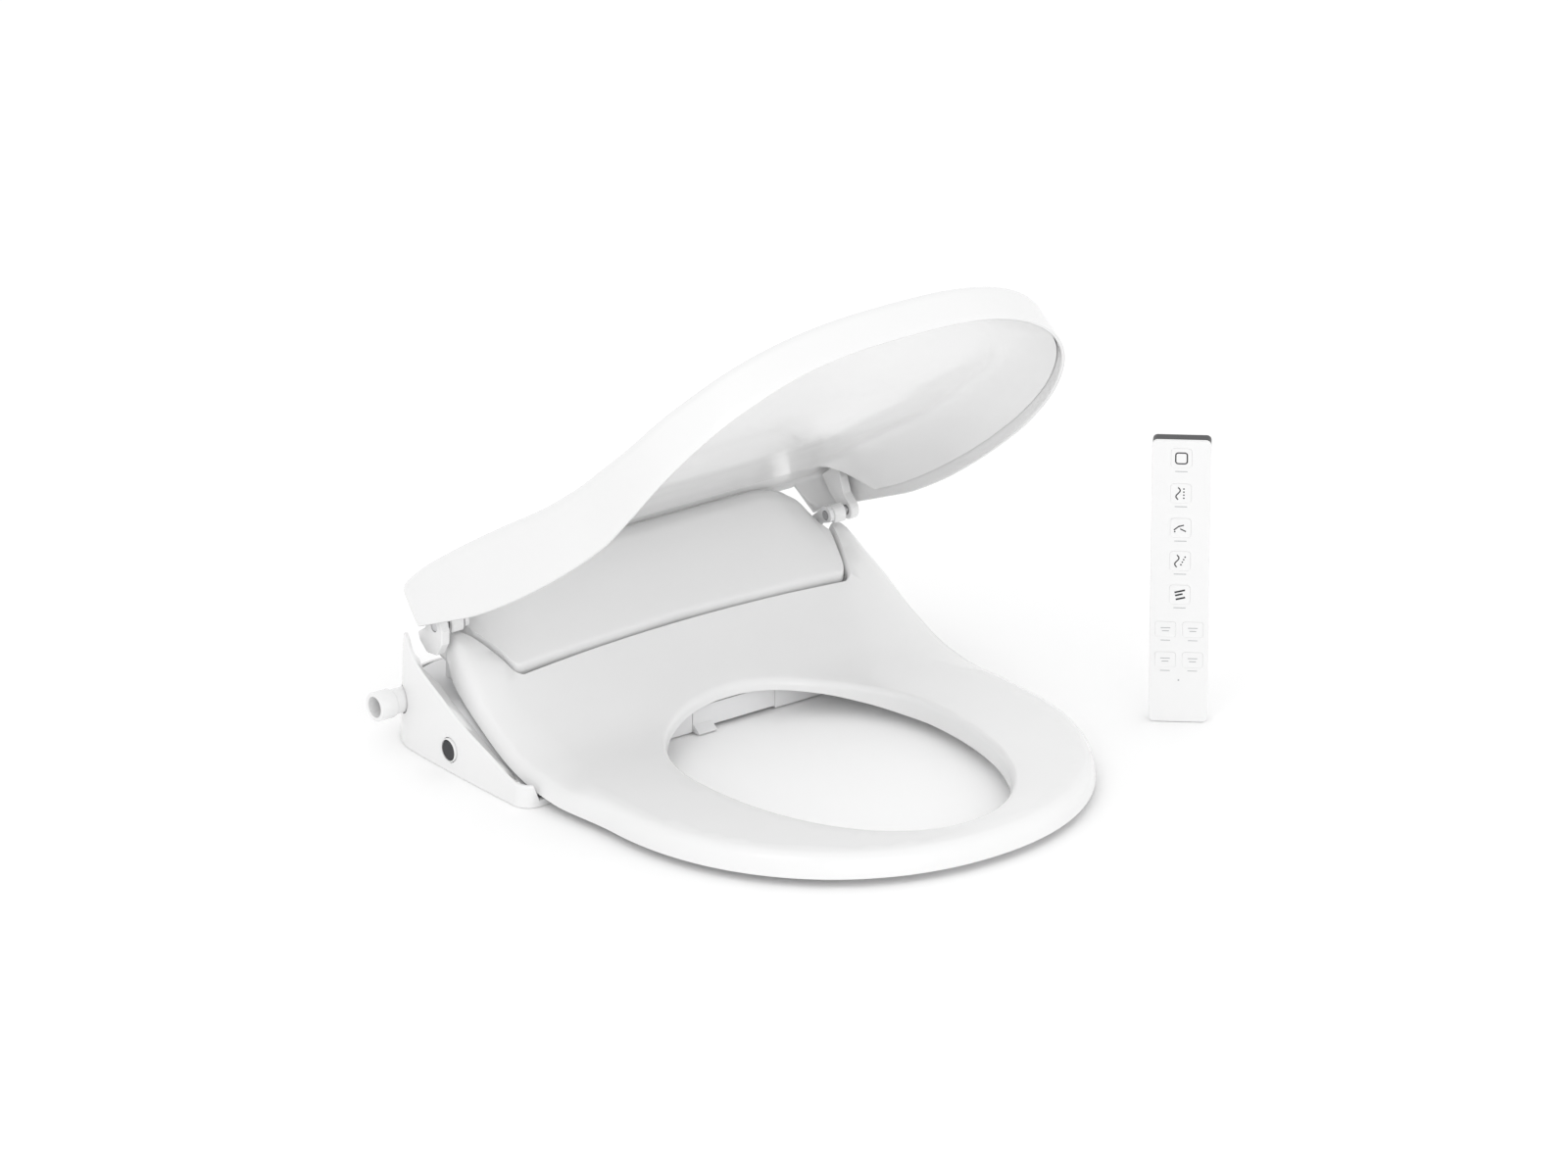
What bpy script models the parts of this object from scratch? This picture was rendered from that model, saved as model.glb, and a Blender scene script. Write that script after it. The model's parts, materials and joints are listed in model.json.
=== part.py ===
"""Electric bidet seat with an open lid and a free-standing remote control.

Frame: millimetres in this file, metres in the scene. The origin is midway between the two
fixing bolts on the underside, +X to the user's right seen from the front, +Y to the rear, +Z up.
"""
import bpy
import bmesh
import numpy as np
from math import ceil, cos, degrees, pi, radians, sin, sqrt
from mathutils import Matrix, Vector
from mathutils.geometry import delaunay_2d_cdt

MM = 0.001

# ---------------------------------------------------------------- driving dimensions
RING_HALF_WIDTH = 190.0        # seat, where its round front ends
RING_FRONT = -420.0            # seat nose, ahead of the fixing bolts
RING_WIDEST = -221.0
HOLE_HALF_WIDTH = 109.0
HOLE_CENTRE = -219.0
HOLE_FRONT = -388.0
HOLE_REAR = -105.0
BASE_HALF_WIDTH = 210.0        # on the left, where the controls and the water inlet are
BASE_RIGHT_WIDTH = 187.0       # on the right it hides under the seat
BASE_RIGHT_TOP = 54.0
BASE_REAR = 48.0
BASE_FRONT_CORNER = -141.0
HINGE_Y = -6.0                 # seat and lid share one hinge line
HINGE_Z = 94.0
LID_REST_OPENING = 48.2        # degrees above closed
LID_FRONT = -424.0
LID_REAR = 15.0
SHELL = 2.6                    # moulded wall
RING_TOP = 24.0
RING_UNDERSIDE = 6.0

NOZZLE_X = 9.0                 # middle of the nozzle bay
NOZZLE_SLOPE = 32.0            # degrees below horizontal
NOZZLE_RADIUS = 5.5
NOZZLE_LENGTH = 90.0
GATE_HALF_WIDTH = 37.5

REMOTE_BASE = (272.5, -292.0)  # centre of its foot on the floor
REMOTE_YAW = -41.0             # degrees from facing the front
REMOTE_WIDTH = 43.0
REMOTE_HEIGHT = 221.0
REMOTE_DEPTH = 14.0

# Heights along the seat and base, as (y, z) control points
SEAT_TOP = [(-420, 24), (-150, 24), (-125, 26), (-106, 31), (-90, 38.5), (-74, 47.5),
            (-60, 58), (-48, 68.5), (-35, 76.5), (-13, 85), (10, 87)]
SEAT_LOWER_EDGE = [(-420, 6), (-165, 6), (-152, 7), (-124, 12), (-100, 19), (-51, 40),
                   (-16, 56), (-5, 64), (10, 70)]
BASE_EDGE = [(-141, 16.5), (-131, 17), (-94, 29), (-57, 42), (-39, 51), (-5, 68), (7, 78),
             (20, 87), (48, 88)]
LID_TOP = [(-424, 77), (-400, 72.5), (-360, 68), (-318, 67), (-257, 73.5), (-195, 86),
           (-134, 104), (-73, 121), (-21, 133), (15, 137)]
LID_LOWER_EDGE = [(-424, 45.5), (-390, 36), (-340, 28.5), (-284, 25), (-250, 26), (-218, 30),
                  (-146, 45), (-74, 67), (-35, 84), (15, 107)]
SEAT_FLANK = [(-225, 190), (-221, 190), (-165, 194.5), (-115, 196), (-60, 192.5), (-25, 187),
              (-8, 181)]      # (y, x) from the round front to the horn
PANEL_PROFILE = [(-46, 70), (-30, 84), (-10, 102), (0, 111), (7, 117.5), (13, 120), (19, 118.5),
                 (24, 113), (27, 104), (28.5, 90), (28.5, 62)]


# ---------------------------------------------------------------- curves
def smooth(knots):
    """A smooth curve through knots that never overshoots them."""
    x = np.array([k[0] for k in knots], float)
    y = np.array([k[1] for k in knots], float)
    step = np.diff(x)
    slope = np.diff(y) / step
    tangent = np.zeros(len(x))
    tangent[0], tangent[-1] = slope[0], slope[-1]
    for i in range(1, len(x) - 1):
        if slope[i - 1] * slope[i] > 0:
            tangent[i] = 2 * slope[i - 1] * slope[i] / (slope[i - 1] + slope[i])

    def value(at):
        at = min(max(at, x[0]), x[-1])
        i = min(int(np.searchsorted(x, at, side="right")) - 1, len(step) - 1)
        t = (at - x[i]) / step[i]
        h = step[i]
        return ((2 * t**3 - 3 * t**2 + 1) * y[i] + (t**3 - 2 * t**2 + t) * h * tangent[i]
                + (3 * t**2 - 2 * t**3) * y[i + 1] + (t**3 - t**2) * h * tangent[i + 1])
    return value


seat_top_z = smooth(SEAT_TOP)
seat_lower_z = smooth(SEAT_LOWER_EDGE)
base_edge_z = smooth(BASE_EDGE)
lid_top_z = smooth(LID_TOP)
lid_lower_z = smooth(LID_LOWER_EDGE)
flank_x = smooth(SEAT_FLANK)


def super_point(angle, half_width, length, power):
    """A point of a superellipse about the origin, at a parametric angle."""
    c, s = cos(angle), sin(angle)
    return (half_width * np.sign(c) * abs(c) ** (2 / power),
            length * np.sign(s) * abs(s) ** (2 / power))


def arc(centre, radius, start, end, steps=8):
    """Points of a circular arc in plan, angles in degrees."""
    return [(centre[0] + radius * cos(radians(a)), centre[1] + radius * sin(radians(a)))
            for a in np.linspace(start, end, steps)]


def mirrored(right_side):
    """A closed outline from its right half, which runs from the front to the rear."""
    left = [(-x, y) for x, y in reversed(right_side) if abs(x) > 1e-6]
    return right_side + left


def offset_path(path, distance):
    """The same path moved to its right-hand side by a distance."""
    points = np.array(path, float)
    moved = []
    for i, p in enumerate(points):
        before = points[i] - points[i - 1] if i else points[1] - points[0]
        after = points[i + 1] - points[i] if i < len(points) - 1 else before
        normals = [np.array([d[1], -d[0]]) / np.linalg.norm(d) for d in (before, after)]
        mean = normals[0] + normals[1]
        mean /= np.linalg.norm(mean)
        moved.append(p + mean * distance / max(float(mean @ normals[0]), 0.5))
    return moved


# ---------------------------------------------------------------- scene and materials
for old in list(bpy.data.objects):
    bpy.data.objects.remove(old, do_unlink=True)

parts = bpy.data.collections.new("bidet_seat")
cutters = bpy.data.collections.new("cutters")
bpy.context.scene.collection.children.link(parts)
bpy.context.scene.collection.children.link(cutters)


def make_material(name, colour, roughness, metallic=0.0):
    material = bpy.data.materials.new(name)
    material.use_nodes = True
    shader = material.node_tree.nodes["Principled BSDF"]
    shader.inputs["Base Color"].default_value = (*colour, 1.0)
    shader.inputs["Roughness"].default_value = roughness
    shader.inputs["Metallic"].default_value = metallic
    return material


WHITE = make_material("white_gloss_plastic", (0.86, 0.86, 0.86), 0.25)
SATIN = make_material("white_satin_plastic", (0.82, 0.82, 0.82), 0.45)
GREY = make_material("grey_plastic", (0.45, 0.46, 0.47), 0.5)
DARK = make_material("dark_plastic", (0.02, 0.02, 0.04), 0.3)
RUBBER = make_material("rubber", (0.55, 0.55, 0.55), 0.8)
STEEL = make_material("steel", (0.6, 0.6, 0.6), 0.3, 1.0)
COPPER = make_material("copper_foil", (0.72, 0.42, 0.25), 0.4, 1.0)
BOARD = make_material("circuit_board", (0.05, 0.25, 0.12), 0.5)


# ---------------------------------------------------------------- mesh helpers
def add_object(name, mesh, material, collection=parts):
    mesh.materials.clear()
    mesh.materials.append(material)
    made = bpy.data.objects.new(name, mesh)
    collection.objects.link(made)
    return made


def from_bmesh(name, bm, material, smooth_angle=35.0, collection=parts):
    """Finishes a bmesh that was drawn in millimetres."""
    bmesh.ops.scale(bm, vec=(MM, MM, MM), verts=bm.verts)
    bmesh.ops.recalc_face_normals(bm, faces=bm.faces)
    mesh = bpy.data.meshes.new(name)
    bm.to_mesh(mesh)
    bm.free()
    mesh.shade_smooth()
    mesh.set_sharp_from_angle(angle=radians(smooth_angle))
    return add_object(name, mesh, material, collection)


def bevel(obj, width, segments=2):
    modifier = obj.modifiers.new("edges", "BEVEL")
    modifier.width = width * MM
    modifier.segments = segments
    modifier.limit_method = "ANGLE"
    return obj


def box(name, centre, size, material, edge=0.0, segments=2, turn=None, collection=parts):
    bm = bmesh.new()
    bmesh.ops.create_cube(bm, size=1.0)
    bmesh.ops.scale(bm, vec=size, verts=bm.verts)
    if turn is not None:
        bmesh.ops.rotate(bm, verts=bm.verts, cent=(0, 0, 0), matrix=turn)
    bmesh.ops.translate(bm, vec=centre, verts=bm.verts)
    made = from_bmesh(name, bm, material, collection=collection)
    return bevel(made, edge, segments) if edge else made


def rod(name, start, end, radius, material, sides=24, end_radius=None, collection=parts):
    """A cylinder or cone between two points."""
    start, end = Vector(start), Vector(end)
    axis = end - start
    bm = bmesh.new()
    bmesh.ops.create_cone(bm, cap_ends=True, segments=sides, radius1=radius,
                          radius2=radius if end_radius is None else end_radius, depth=axis.length)
    bmesh.ops.rotate(bm, verts=bm.verts, cent=(0, 0, 0),
                     matrix=axis.to_track_quat("Z", "Y").to_matrix())
    bmesh.ops.translate(bm, vec=(start + end) / 2, verts=bm.verts)
    return from_bmesh(name, bm, material, collection=collection)


def turned(name, profile, start, direction, material, steps=28):
    """A ring of revolution: profile is a closed loop of (radius, distance along the axis)."""
    bm = bmesh.new()
    verts = [bm.verts.new((r * MM, 0, -z * MM)) for r, z in profile]
    for a, b in zip(verts, verts[1:] + verts[:1]):
        bm.edges.new((a, b))
    mesh = bpy.data.meshes.new(name)
    bm.to_mesh(mesh)
    bm.free()
    made = add_object(name, mesh, material)
    screw = made.modifiers.new("turn", "SCREW")
    screw.steps = screw.render_steps = steps
    screw.use_merge_vertices = True
    screw.merge_threshold = 0.00001
    screw.use_smooth_shade = True
    made.rotation_mode = "QUATERNION"
    made.rotation_quaternion = Vector(direction).to_track_quat("-Z", "Y")
    made.location = Vector(start) * MM
    return made


def hose(name, points, radius, material, spacing=6.0):
    """A bent tube along a smooth route."""
    route = catmull(points, spacing)
    curve = bpy.data.curves.new(name, "CURVE")
    curve.dimensions = "3D"
    curve.bevel_depth = radius * MM
    curve.bevel_resolution = 2
    curve.use_fill_caps = True
    spline = curve.splines.new("POLY")
    spline.points.add(len(route) - 1)
    for point, at in zip(spline.points, route):
        point.co = (*(Vector(at) * MM), 1.0)
    made = bpy.data.objects.new(name, curve)
    made.data.materials.append(material)
    parts.objects.link(made)
    return made


def catmull(points, spacing):
    """Points along a Catmull-Rom curve through the given ones."""
    knots = [Vector(p) for p in points]
    knots = [knots[0] * 2 - knots[1]] + knots + [knots[-1] * 2 - knots[-2]]
    route = [knots[1]]
    for a, b, c, d in zip(knots, knots[1:], knots[2:], knots[3:]):
        count = max(2, ceil((c - b).length / spacing))
        for i in range(1, count + 1):
            t = i / count
            route.append(0.5 * (2 * b + (c - a) * t + (2 * a - 5 * b + 4 * c - d) * t * t
                                + (3 * b - a - 3 * c + d) * t**3))
    return route


def plate(name, outline, low, high, material, edge=0.0, segments=1, collection=parts):
    """A flat outline in plan, between two heights, as a closed mesh."""
    bm = bmesh.new()
    floor = [bm.verts.new((x, y, low)) for x, y in outline]
    roof = [bm.verts.new((x, y, high)) for x, y in outline]
    bm.faces.new(floor)
    bm.faces.new(roof)
    for i in range(len(outline)):
        j = (i + 1) % len(outline)
        bm.faces.new((floor[i], floor[j], roof[j], roof[i]))
    made = from_bmesh(name, bm, material, collection=collection)
    return bevel(made, edge, segments) if edge else made


def stand_up(obj, x):
    """Turns a plate drawn in (y, z) so that it stands across the X axis at x."""
    turn = Matrix(((0, 0, 1, x * MM), (1, 0, 0, 0), (0, 1, 0, 0), (0, 0, 0, 1)))
    obj.matrix_world = turn @ obj.matrix_world
    return obj


def side_plate(name, outline_yz, x_low, x_high, material, edge=0.0, collection=parts):
    """A flat outline in side view, between two X positions."""
    return stand_up(plate(name, outline_yz, x_low, x_high, material, edge, 1, collection), 0.0)


def cut(obj, *tools, operation="DIFFERENCE"):
    for tool in tools:
        tool.hide_render = True
        tool.display_type = "WIRE"
        modifier = obj.modifiers.new("cut", "BOOLEAN")
        modifier.operation = operation
        modifier.object = tool
    return obj


def surface(name, rings, material, close_top=True, thickness=SHELL):
    """An open skin through rings of equal count, closed at its last ring, with a wall inside."""
    bm = bmesh.new()
    grid = [[bm.verts.new(p) for p in ring] for ring in rings]
    for low, high in zip(grid, grid[1:]):
        for i in range(len(low)):
            j = (i + 1) % len(low)
            bm.faces.new((low[i], low[j], high[j], high[i]))
    if close_top:
        centre = sum((v.co for v in grid[-1]), Vector()) / len(grid[-1])
        tip = bm.verts.new(centre)
        for i, v in enumerate(grid[-1]):
            bm.faces.new((v, grid[-1][(i + 1) % len(grid[-1])], tip))
    made = from_bmesh(name, bm, material)
    wall(made, thickness)
    return made


def wall(obj, thickness):
    modifier = obj.modifiers.new("wall", "SOLIDIFY")
    modifier.thickness = thickness * MM
    modifier.offset = -1.0
    modifier.use_even_offset = True
    return modifier


def solid_loft(name, sections, material):
    """A closed ring-shaped solid through closed sections."""
    bm = bmesh.new()
    grid = [[bm.verts.new(p) for p in section] for section in sections]
    for a, b in zip(grid, grid[1:] + grid[:1]):
        for i in range(len(a)):
            j = (i + 1) % len(a)
            bm.faces.new((a[i], a[j], b[j], b[i]))
    return from_bmesh(name, bm, material)


def capped_loft(name, sections, material, collection=parts):
    """A solid through closed sections, with flat ends."""
    bm = bmesh.new()
    grid = [[bm.verts.new(p) for p in section] for section in sections]
    for a, b in zip(grid, grid[1:]):
        for i in range(len(a)):
            j = (i + 1) % len(a)
            bm.faces.new((a[i], a[j], b[j], b[i]))
    bm.faces.new(reversed(grid[0]))
    bm.faces.new(grid[-1])
    return from_bmesh(name, bm, material, collection=collection)


def pose(obj, turn_degrees):
    """Turns an object about the hinge line."""
    to_hinge = Matrix.Translation(Vector((0, HINGE_Y, HINGE_Z)) * MM)
    turn = to_hinge @ Matrix.Rotation(radians(turn_degrees), 4, "X") @ to_hinge.inverted()
    obj.matrix_world = turn @ obj.matrix_world
    return obj


# ---------------------------------------------------------------- seat
HORN_TIP = (174.0, -8.0)       # middle of the rounded rear end of each horn
HORN_RADIUS = 7.0
NOTCH_CORNER = (145.5, -44.4)
NOTCH_RADIUS = 8.0
NOTCH_DEPTH = 9.0              # height of the seat's edge along the panel
HORN_UNDERSIDE = 64.0
PIN_RADIUS = 3.2
PIN_BORE = 3.8
crease_inset = smooth([(-420, 9), (-220, 10), (-185, 15), (-145, 34), (-115, 36), (-90, 29),
                       (-54, 22), (-27, 13), (-13, 6), (0, 5)])


def notch_edge_y(x):
    """Front edge of the panel; the seat stops 2 mm ahead of it."""
    return -46.0 - 4.0 * (x / 140.0) ** 2


def seat_outline():
    """The seat in plan as a loop of (x, y, crease inset, lower edge height)."""
    half = []
    for a in np.linspace(-90, 0, 13)[:-1]:
        x, y = super_point(radians(a), RING_HALF_WIDTH, RING_WIDEST - RING_FRONT, 2.1)
        half.append((x, RING_WIDEST + y, crease_inset(RING_WIDEST + y), RING_UNDERSIDE))
    for y in np.linspace(RING_WIDEST, HORN_TIP[1], 13)[:-1]:
        half.append((flank_x(y), y, crease_inset(y), seat_lower_z(y)))
    for t in np.linspace(0, 1, 5)[:-1]:
        half.append((HORN_TIP[0] + HORN_RADIUS * cos(pi * t), HORN_TIP[1] + 6.0 * sin(pi * t),
                     2.8, HORN_UNDERSIDE))
    corner = arc(NOTCH_CORNER, NOTCH_RADIUS, -12, -84, 4)
    start = np.array([HORN_TIP[0] - HORN_RADIUS, HORN_TIP[1]])
    edge = [tuple(start + (np.array(corner[0]) - start) * t) for t in (0, 0.33, 0.67)]
    edge += corner + [(x, notch_edge_y(x) - 2.0) for x in (130, 105, 75, 38, 0)]
    half += [(x, y, 3.0, min(HORN_UNDERSIDE, seat_top_z(y) - NOTCH_DEPTH)) for x, y in edge]
    return half + [(-x, y, inset, low) for x, y, inset, low in reversed(half[1:-1])]


def hole_outline(count=44):
    points = []
    for a in np.linspace(-90, 270, count, endpoint=False):
        rise = HOLE_REAR - HOLE_CENTRE if sin(radians(a)) > 0 else HOLE_CENTRE - HOLE_FRONT
        x, y = super_point(radians(a), HOLE_HALF_WIDTH, rise, 2.1)
        points.append((x, HOLE_CENTRE + y))
    return points


def rim_height(y):
    """Depth of the hole's wall: thinner towards the rear."""
    back = min(max((y + 190.0) / 85.0, 0), 1)
    return 16.0 - 8.0 * back * back * (3 - 2 * back)


def inside(points, loop):
    """Which points lie inside a closed loop."""
    points, loop = np.asarray(points, float), np.asarray(loop, float)
    found = np.zeros(len(points), bool)
    for (x0, y0), (x1, y1) in zip(loop, np.roll(loop, -1, axis=0)):
        crosses = (y0 > points[:, 1]) != (y1 > points[:, 1])
        with np.errstate(divide="ignore", invalid="ignore"):
            at = x0 + (points[:, 1] - y0) * (x1 - x0) / (y1 - y0)
        found ^= crosses & (points[:, 0] < at)
    return found


def sheet(bm, outer_loops, hole_loops, height, spacing):
    """A triangulated sheet between an outline and a hole, through nested loops of (x, y, z).

    Returns the vertices of the outermost and of the hole's innermost loop."""
    loops = outer_loops + hole_loops
    flat = [np.array([p[:2] for p in loop]) for loop in loops]
    grid = [(x, y) for x in np.arange(-190, 191, spacing) for y in np.arange(-418, 0, spacing)]
    grid = np.array(grid)[inside(grid, flat[len(outer_loops) - 1])]
    grid = grid[~inside(grid, flat[-1])]
    clear = [p for p in grid
             if all(np.linalg.norm(loop - p, axis=1).min() > 0.55 * spacing for loop in flat)]
    points, edges = [], []
    for loop in flat:
        first = len(points)
        points += [tuple(p) for p in loop]
        edges += [(first + i, first + (i + 1) % len(loop)) for i in range(len(loop))]
    heights = [p[2] for loop in loops for p in loop] + [height(*p) for p in clear]
    points += [tuple(p) for p in clear]
    found, _, faces, _, _, _ = delaunay_2d_cdt([Vector(p) for p in points], edges, [], 0, 1e-4)
    middle = [sum((found[i] for i in face), Vector((0, 0))) / len(face) for face in faces]
    keep = inside(middle, flat[0]) & ~inside(middle, flat[len(outer_loops)])
    verts = [bm.verts.new((*p, z)) for p, z in zip(points, heights)]
    for face, kept in zip(faces, keep):
        if kept:
            bm.faces.new([verts[i] for i in face])
    start = sum(len(loop) for loop in outer_loops)
    return verts[:len(outer_loops[0])], verts[start:start + len(hole_loops[0])]


def bridge(bm, one, other):
    """Quads between two vertex loops of equal count."""
    for i in range(len(one)):
        j = (i + 1) % len(one)
        bm.faces.new((one[i], one[j], other[j], other[i]))


def raised(bm, loop, heights):
    return [bm.verts.new((v.co.x, v.co.y, z)) for v, z in zip(loop, heights)]


def roof_z(x, y):
    """Underside of the seat's skin."""
    slope = (seat_top_z(y + 1) - seat_top_z(y - 1)) / 2
    return seat_top_z(y) - SHELL * sqrt(1 + slope * slope)


def build_seat_top(outline, hole):
    drops, skin, lining = [], [[], [], []], [[], [], []]
    for (x, y, inset, low), way in zip(outline, inward_of(outline)):
        drop = seat_top_z(y + way[1] * inset) - low
        slant = min(max((inset - 9.0) / 12.0, 0), 1)
        fall = (1.0, 0.5 - 0.12 * slant, 0.14 + 0.02 * slant)
        for loop, d, f in zip(skin, (0.0, inset * 0.15, inset * 0.5), fall):
            loop.append((x + way[0] * d, y + way[1] * d, low + drop * (1 - f)))
        inner = ((SHELL * 1.15, low), (inset * 0.5 + 2.4, low + drop * (1 - fall[2]) - 3.0),
                 (inset + 1.5, None))
        for loop, (d, z) in zip(lining, inner):
            px, py = x + way[0] * d, y + way[1] * d
            loop.append((px, py, roof_z(px, py) if z is None else min(z, roof_z(px, py))))
        drops.append((x + way[0] * inset, y + way[1] * inset,
                      seat_top_z(y + way[1] * inset)))
    skin.append(drops)
    hole_ways = -inward_of(hole)
    rims = [[], [], []]
    linings = [[], []]
    for (x, y), way in zip(hole, hole_ways):
        for loop, d, below in zip(rims, (0.0, 1.4, 4.5), (5.0, 1.6, 0.0)):
            py = y + way[1] * d
            loop.append((x + way[0] * d, py, seat_top_z(py) - below))
        linings[0].append((x + way[0] * SHELL, y + way[1] * SHELL, seat_top_z(y) - rim_height(y)))
        px, py = x + way[0] * (SHELL + 0.6), y + way[1] * (SHELL + 0.6)
        linings[1].append((px, py, roof_z(px, py) - 1.2))
    bm = bmesh.new()
    edge, rim = sheet(bm, skin, rims, lambda x, y: seat_top_z(y), 22.0)
    inner_edge, inner_rim = sheet(bm, lining, linings, roof_z, 30.0)
    bridge(bm, edge, inner_edge)
    foot = raised(bm, rim, [seat_top_z(y) - rim_height(y) for _, y in hole])
    bridge(bm, rim, foot)
    bridge(bm, foot, inner_rim)
    return from_bmesh("seat_top", bm, WHITE)


def inward_of(outline):
    """Inward directions along an anticlockwise loop."""
    loop = np.array([p[:2] for p in outline], float)
    ahead = np.roll(loop, -1, axis=0) - np.roll(loop, 1, axis=0)
    way = np.stack([-ahead[:, 1], ahead[:, 0]], axis=1)
    return way / np.linalg.norm(way, axis=1)[:, None]


def build_seat_underside(outline, hole):
    """The plate that closes the seat from below, its height blended from edge and hole."""
    around = np.array([(x, y) for x, y, _, _ in outline] + hole)
    depth = np.array([seat_top_z(y) - low for x, y, _, low in outline]
                     + [rim_height(y) for _, y in hole])

    def floor(x, y):
        weight = 1 / (np.linalg.norm(around - (x, y), axis=1) ** 2 + 1.0)
        return seat_top_z(y) - float(weight @ depth / weight.sum()) + 0.9
    outer, inner = [], []
    for (x, y, inset, _), way in zip(outline, inward_of(outline)):
        d = 4.4 + min(max(inset - 9.0, 0) * 0.2, 3.0)
        outer.append((x + way[0] * d, y + way[1] * d))
    for (x, y), way in zip(hole, -inward_of(hole)):
        inner.append((x + way[0] * (SHELL + 1.2), y + way[1] * (SHELL + 1.2)))
    bm = bmesh.new()
    sides = []
    for lift in (0.0, 1.6):
        loops = [[(x, y, floor(x, y) + lift) for x, y in loop] for loop in (outer, inner)]
        sides.append(sheet(bm, loops[:1], loops[1:], lambda x, y: floor(x, y) + lift, 34.0))
    bridge(bm, sides[0][0], sides[1][0])
    bridge(bm, sides[0][1], sides[1][1])
    return from_bmesh("seat_underside", bm, SATIN)


def build_seat():
    outline, hole = seat_outline(), hole_outline()
    build_seat_top(outline, hole)
    build_seat_underside(outline, hole)
    band = []
    for inset, half_width, rise, angles in ((16.0, RING_HALF_WIDTH, 199.0, (-190, 10)),
                                            (-9.0, HOLE_HALF_WIDTH, 169.0, (10, -190))):
        for a in np.linspace(*angles, 17):
            x, y = super_point(radians(a), half_width - inset, rise - inset, 2.1)
            band.append((x, RING_WIDEST + y))
    plate("seat_heater", band, RING_TOP - 5.0, RING_TOP - 4.5, COPPER)
    for side, name in ((-1, "left"), (1, "right")):
        ear_outline = [(-1.5, 88.4), (0.5, 90.5)] + arc((HINGE_Y, HINGE_Z), 7.0, -10, 190, 11)
        ear_outline += [(-12.5, 90), (-11.5, 88.0)]
        ear = side_plate("seat_ear_" + name, ear_outline, *sorted((side * 169.4, side * 180.2)),
                         WHITE, 0.8)
        cut(ear, hinge_bore("ear_bore_" + name, side, 166, 184))
        box("seat_bumper_front_" + name, (side * 98, -369, 3.4), (30, 10, 5.6), RUBBER, 1.2,
            turn=Matrix.Rotation(radians(side * 38), 3, "Z"))
        box("seat_bumper_rear_" + name, (side * 146, -190, 3.4), (10, 34, 5.6), RUBBER, 1.2)


def hinge_bore(name, side, near, far):
    return rod(name, (side * near, HINGE_Y, HINGE_Z), (side * far, HINGE_Y, HINGE_Z), PIN_BORE,
               SATIN, 20, collection=cutters)


# ---------------------------------------------------------------- lid, drawn closed
LID_HALF_WIDTH_FRONT = 188.5
LID_HALF_WIDTH_REAR = 200.0
LID_WIDEST_FRONT = -250.0
LID_CORNER = 22.0
LID_CROWN = 5.0
LID_MIDDLE = -200.0
LID_TAIL_LOW = 131.5
LID_TAIL_HALF_WIDTH = 168.0    # the rear wall is open between the lid's two rear corners
LINER_REAR = -30.0
LINER_HOLLOW = 45.0            # how far in from the edge the hollow reaches its full depth


def lid_outline(inset=0.0, scale=1):
    """The lid's edge in plan, as a closed loop."""
    half = []
    for i in range(12 * scale):
        a = -90 + 90 * i / (12 * scale)
        x, y = super_point(radians(a), LID_HALF_WIDTH_FRONT, LID_WIDEST_FRONT - LID_FRONT, 2.6)
        half.append((x, LID_WIDEST_FRONT + y))
    for i in range(9 * scale):
        t = i / (9 * scale)
        y = LID_WIDEST_FRONT + (LID_REAR - LID_CORNER - LID_WIDEST_FRONT) * t
        ease = min(t / 0.85, 1)
        half.append((LID_HALF_WIDTH_FRONT + (LID_HALF_WIDTH_REAR - LID_HALF_WIDTH_FRONT)
                     * ease * ease * (3 - 2 * ease), y))
    half += arc((LID_HALF_WIDTH_REAR - LID_CORNER, LID_REAR - LID_CORNER), LID_CORNER, 0, 90,
                6 * scale)
    half += [(x, LID_REAR) for x in (172, 168, 110, 55, 0)]
    return inset_loop(mirrored(half), inset)


def inset_loop(outline, inset):
    """A closed plan outline, running anticlockwise, moved inwards."""
    loop = np.array(outline, float)
    ahead = np.roll(loop, -1, axis=0) - np.roll(loop, 1, axis=0)
    outward = np.stack([ahead[:, 1], -ahead[:, 0]], axis=1)
    outward /= np.linalg.norm(outward, axis=1)[:, None]
    return loop - outward * inset


def lid_low(x, y):
    """Height of the lower edge: the side skirt ends at the rear corner, the tail is open."""
    tail = min(max((LID_TAIL_HALF_WIDTH + 4.0 - abs(x)) / 4.0, 0), 1)
    return lid_lower_z(y) if y < 0 or tail == 0 else lid_lower_z(y) * (1 - tail) + LID_TAIL_LOW * tail


def lid_rings(scale=1):
    rings = []
    for inset, share in ((0.0, 0.0), (0.8, 0.5), (2.0, 1.0)):
        ring = []
        for x, y in lid_outline(inset, scale):
            low, high = lid_low(x, y), lid_top_z(y)
            shoulder = high - min(9.0, 0.7 * (high - low))
            ring.append((x, y, low + (shoulder - low) * share))
        rings.append(ring)
    for inset, below in ((4.2, 0.36), (8.5, 0.07)):
        rings.append([(x, y, lid_top_z(y) - below * min(9.0, 0.7 * (lid_top_z(y) - lid_low(x, y))))
                      for x, y in lid_outline(inset, scale)])
    for share in (0.82, 0.6, 0.38, 0.16):
        ring = []
        for x, y in lid_outline(8.5, scale):
            px, py = x * share, LID_MIDDLE + (y - LID_MIDDLE) * share
            ring.append((px, py, lid_top_z(py) + LID_CROWN * (1 - share * share)))
        rings.append(ring)
    return rings


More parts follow.
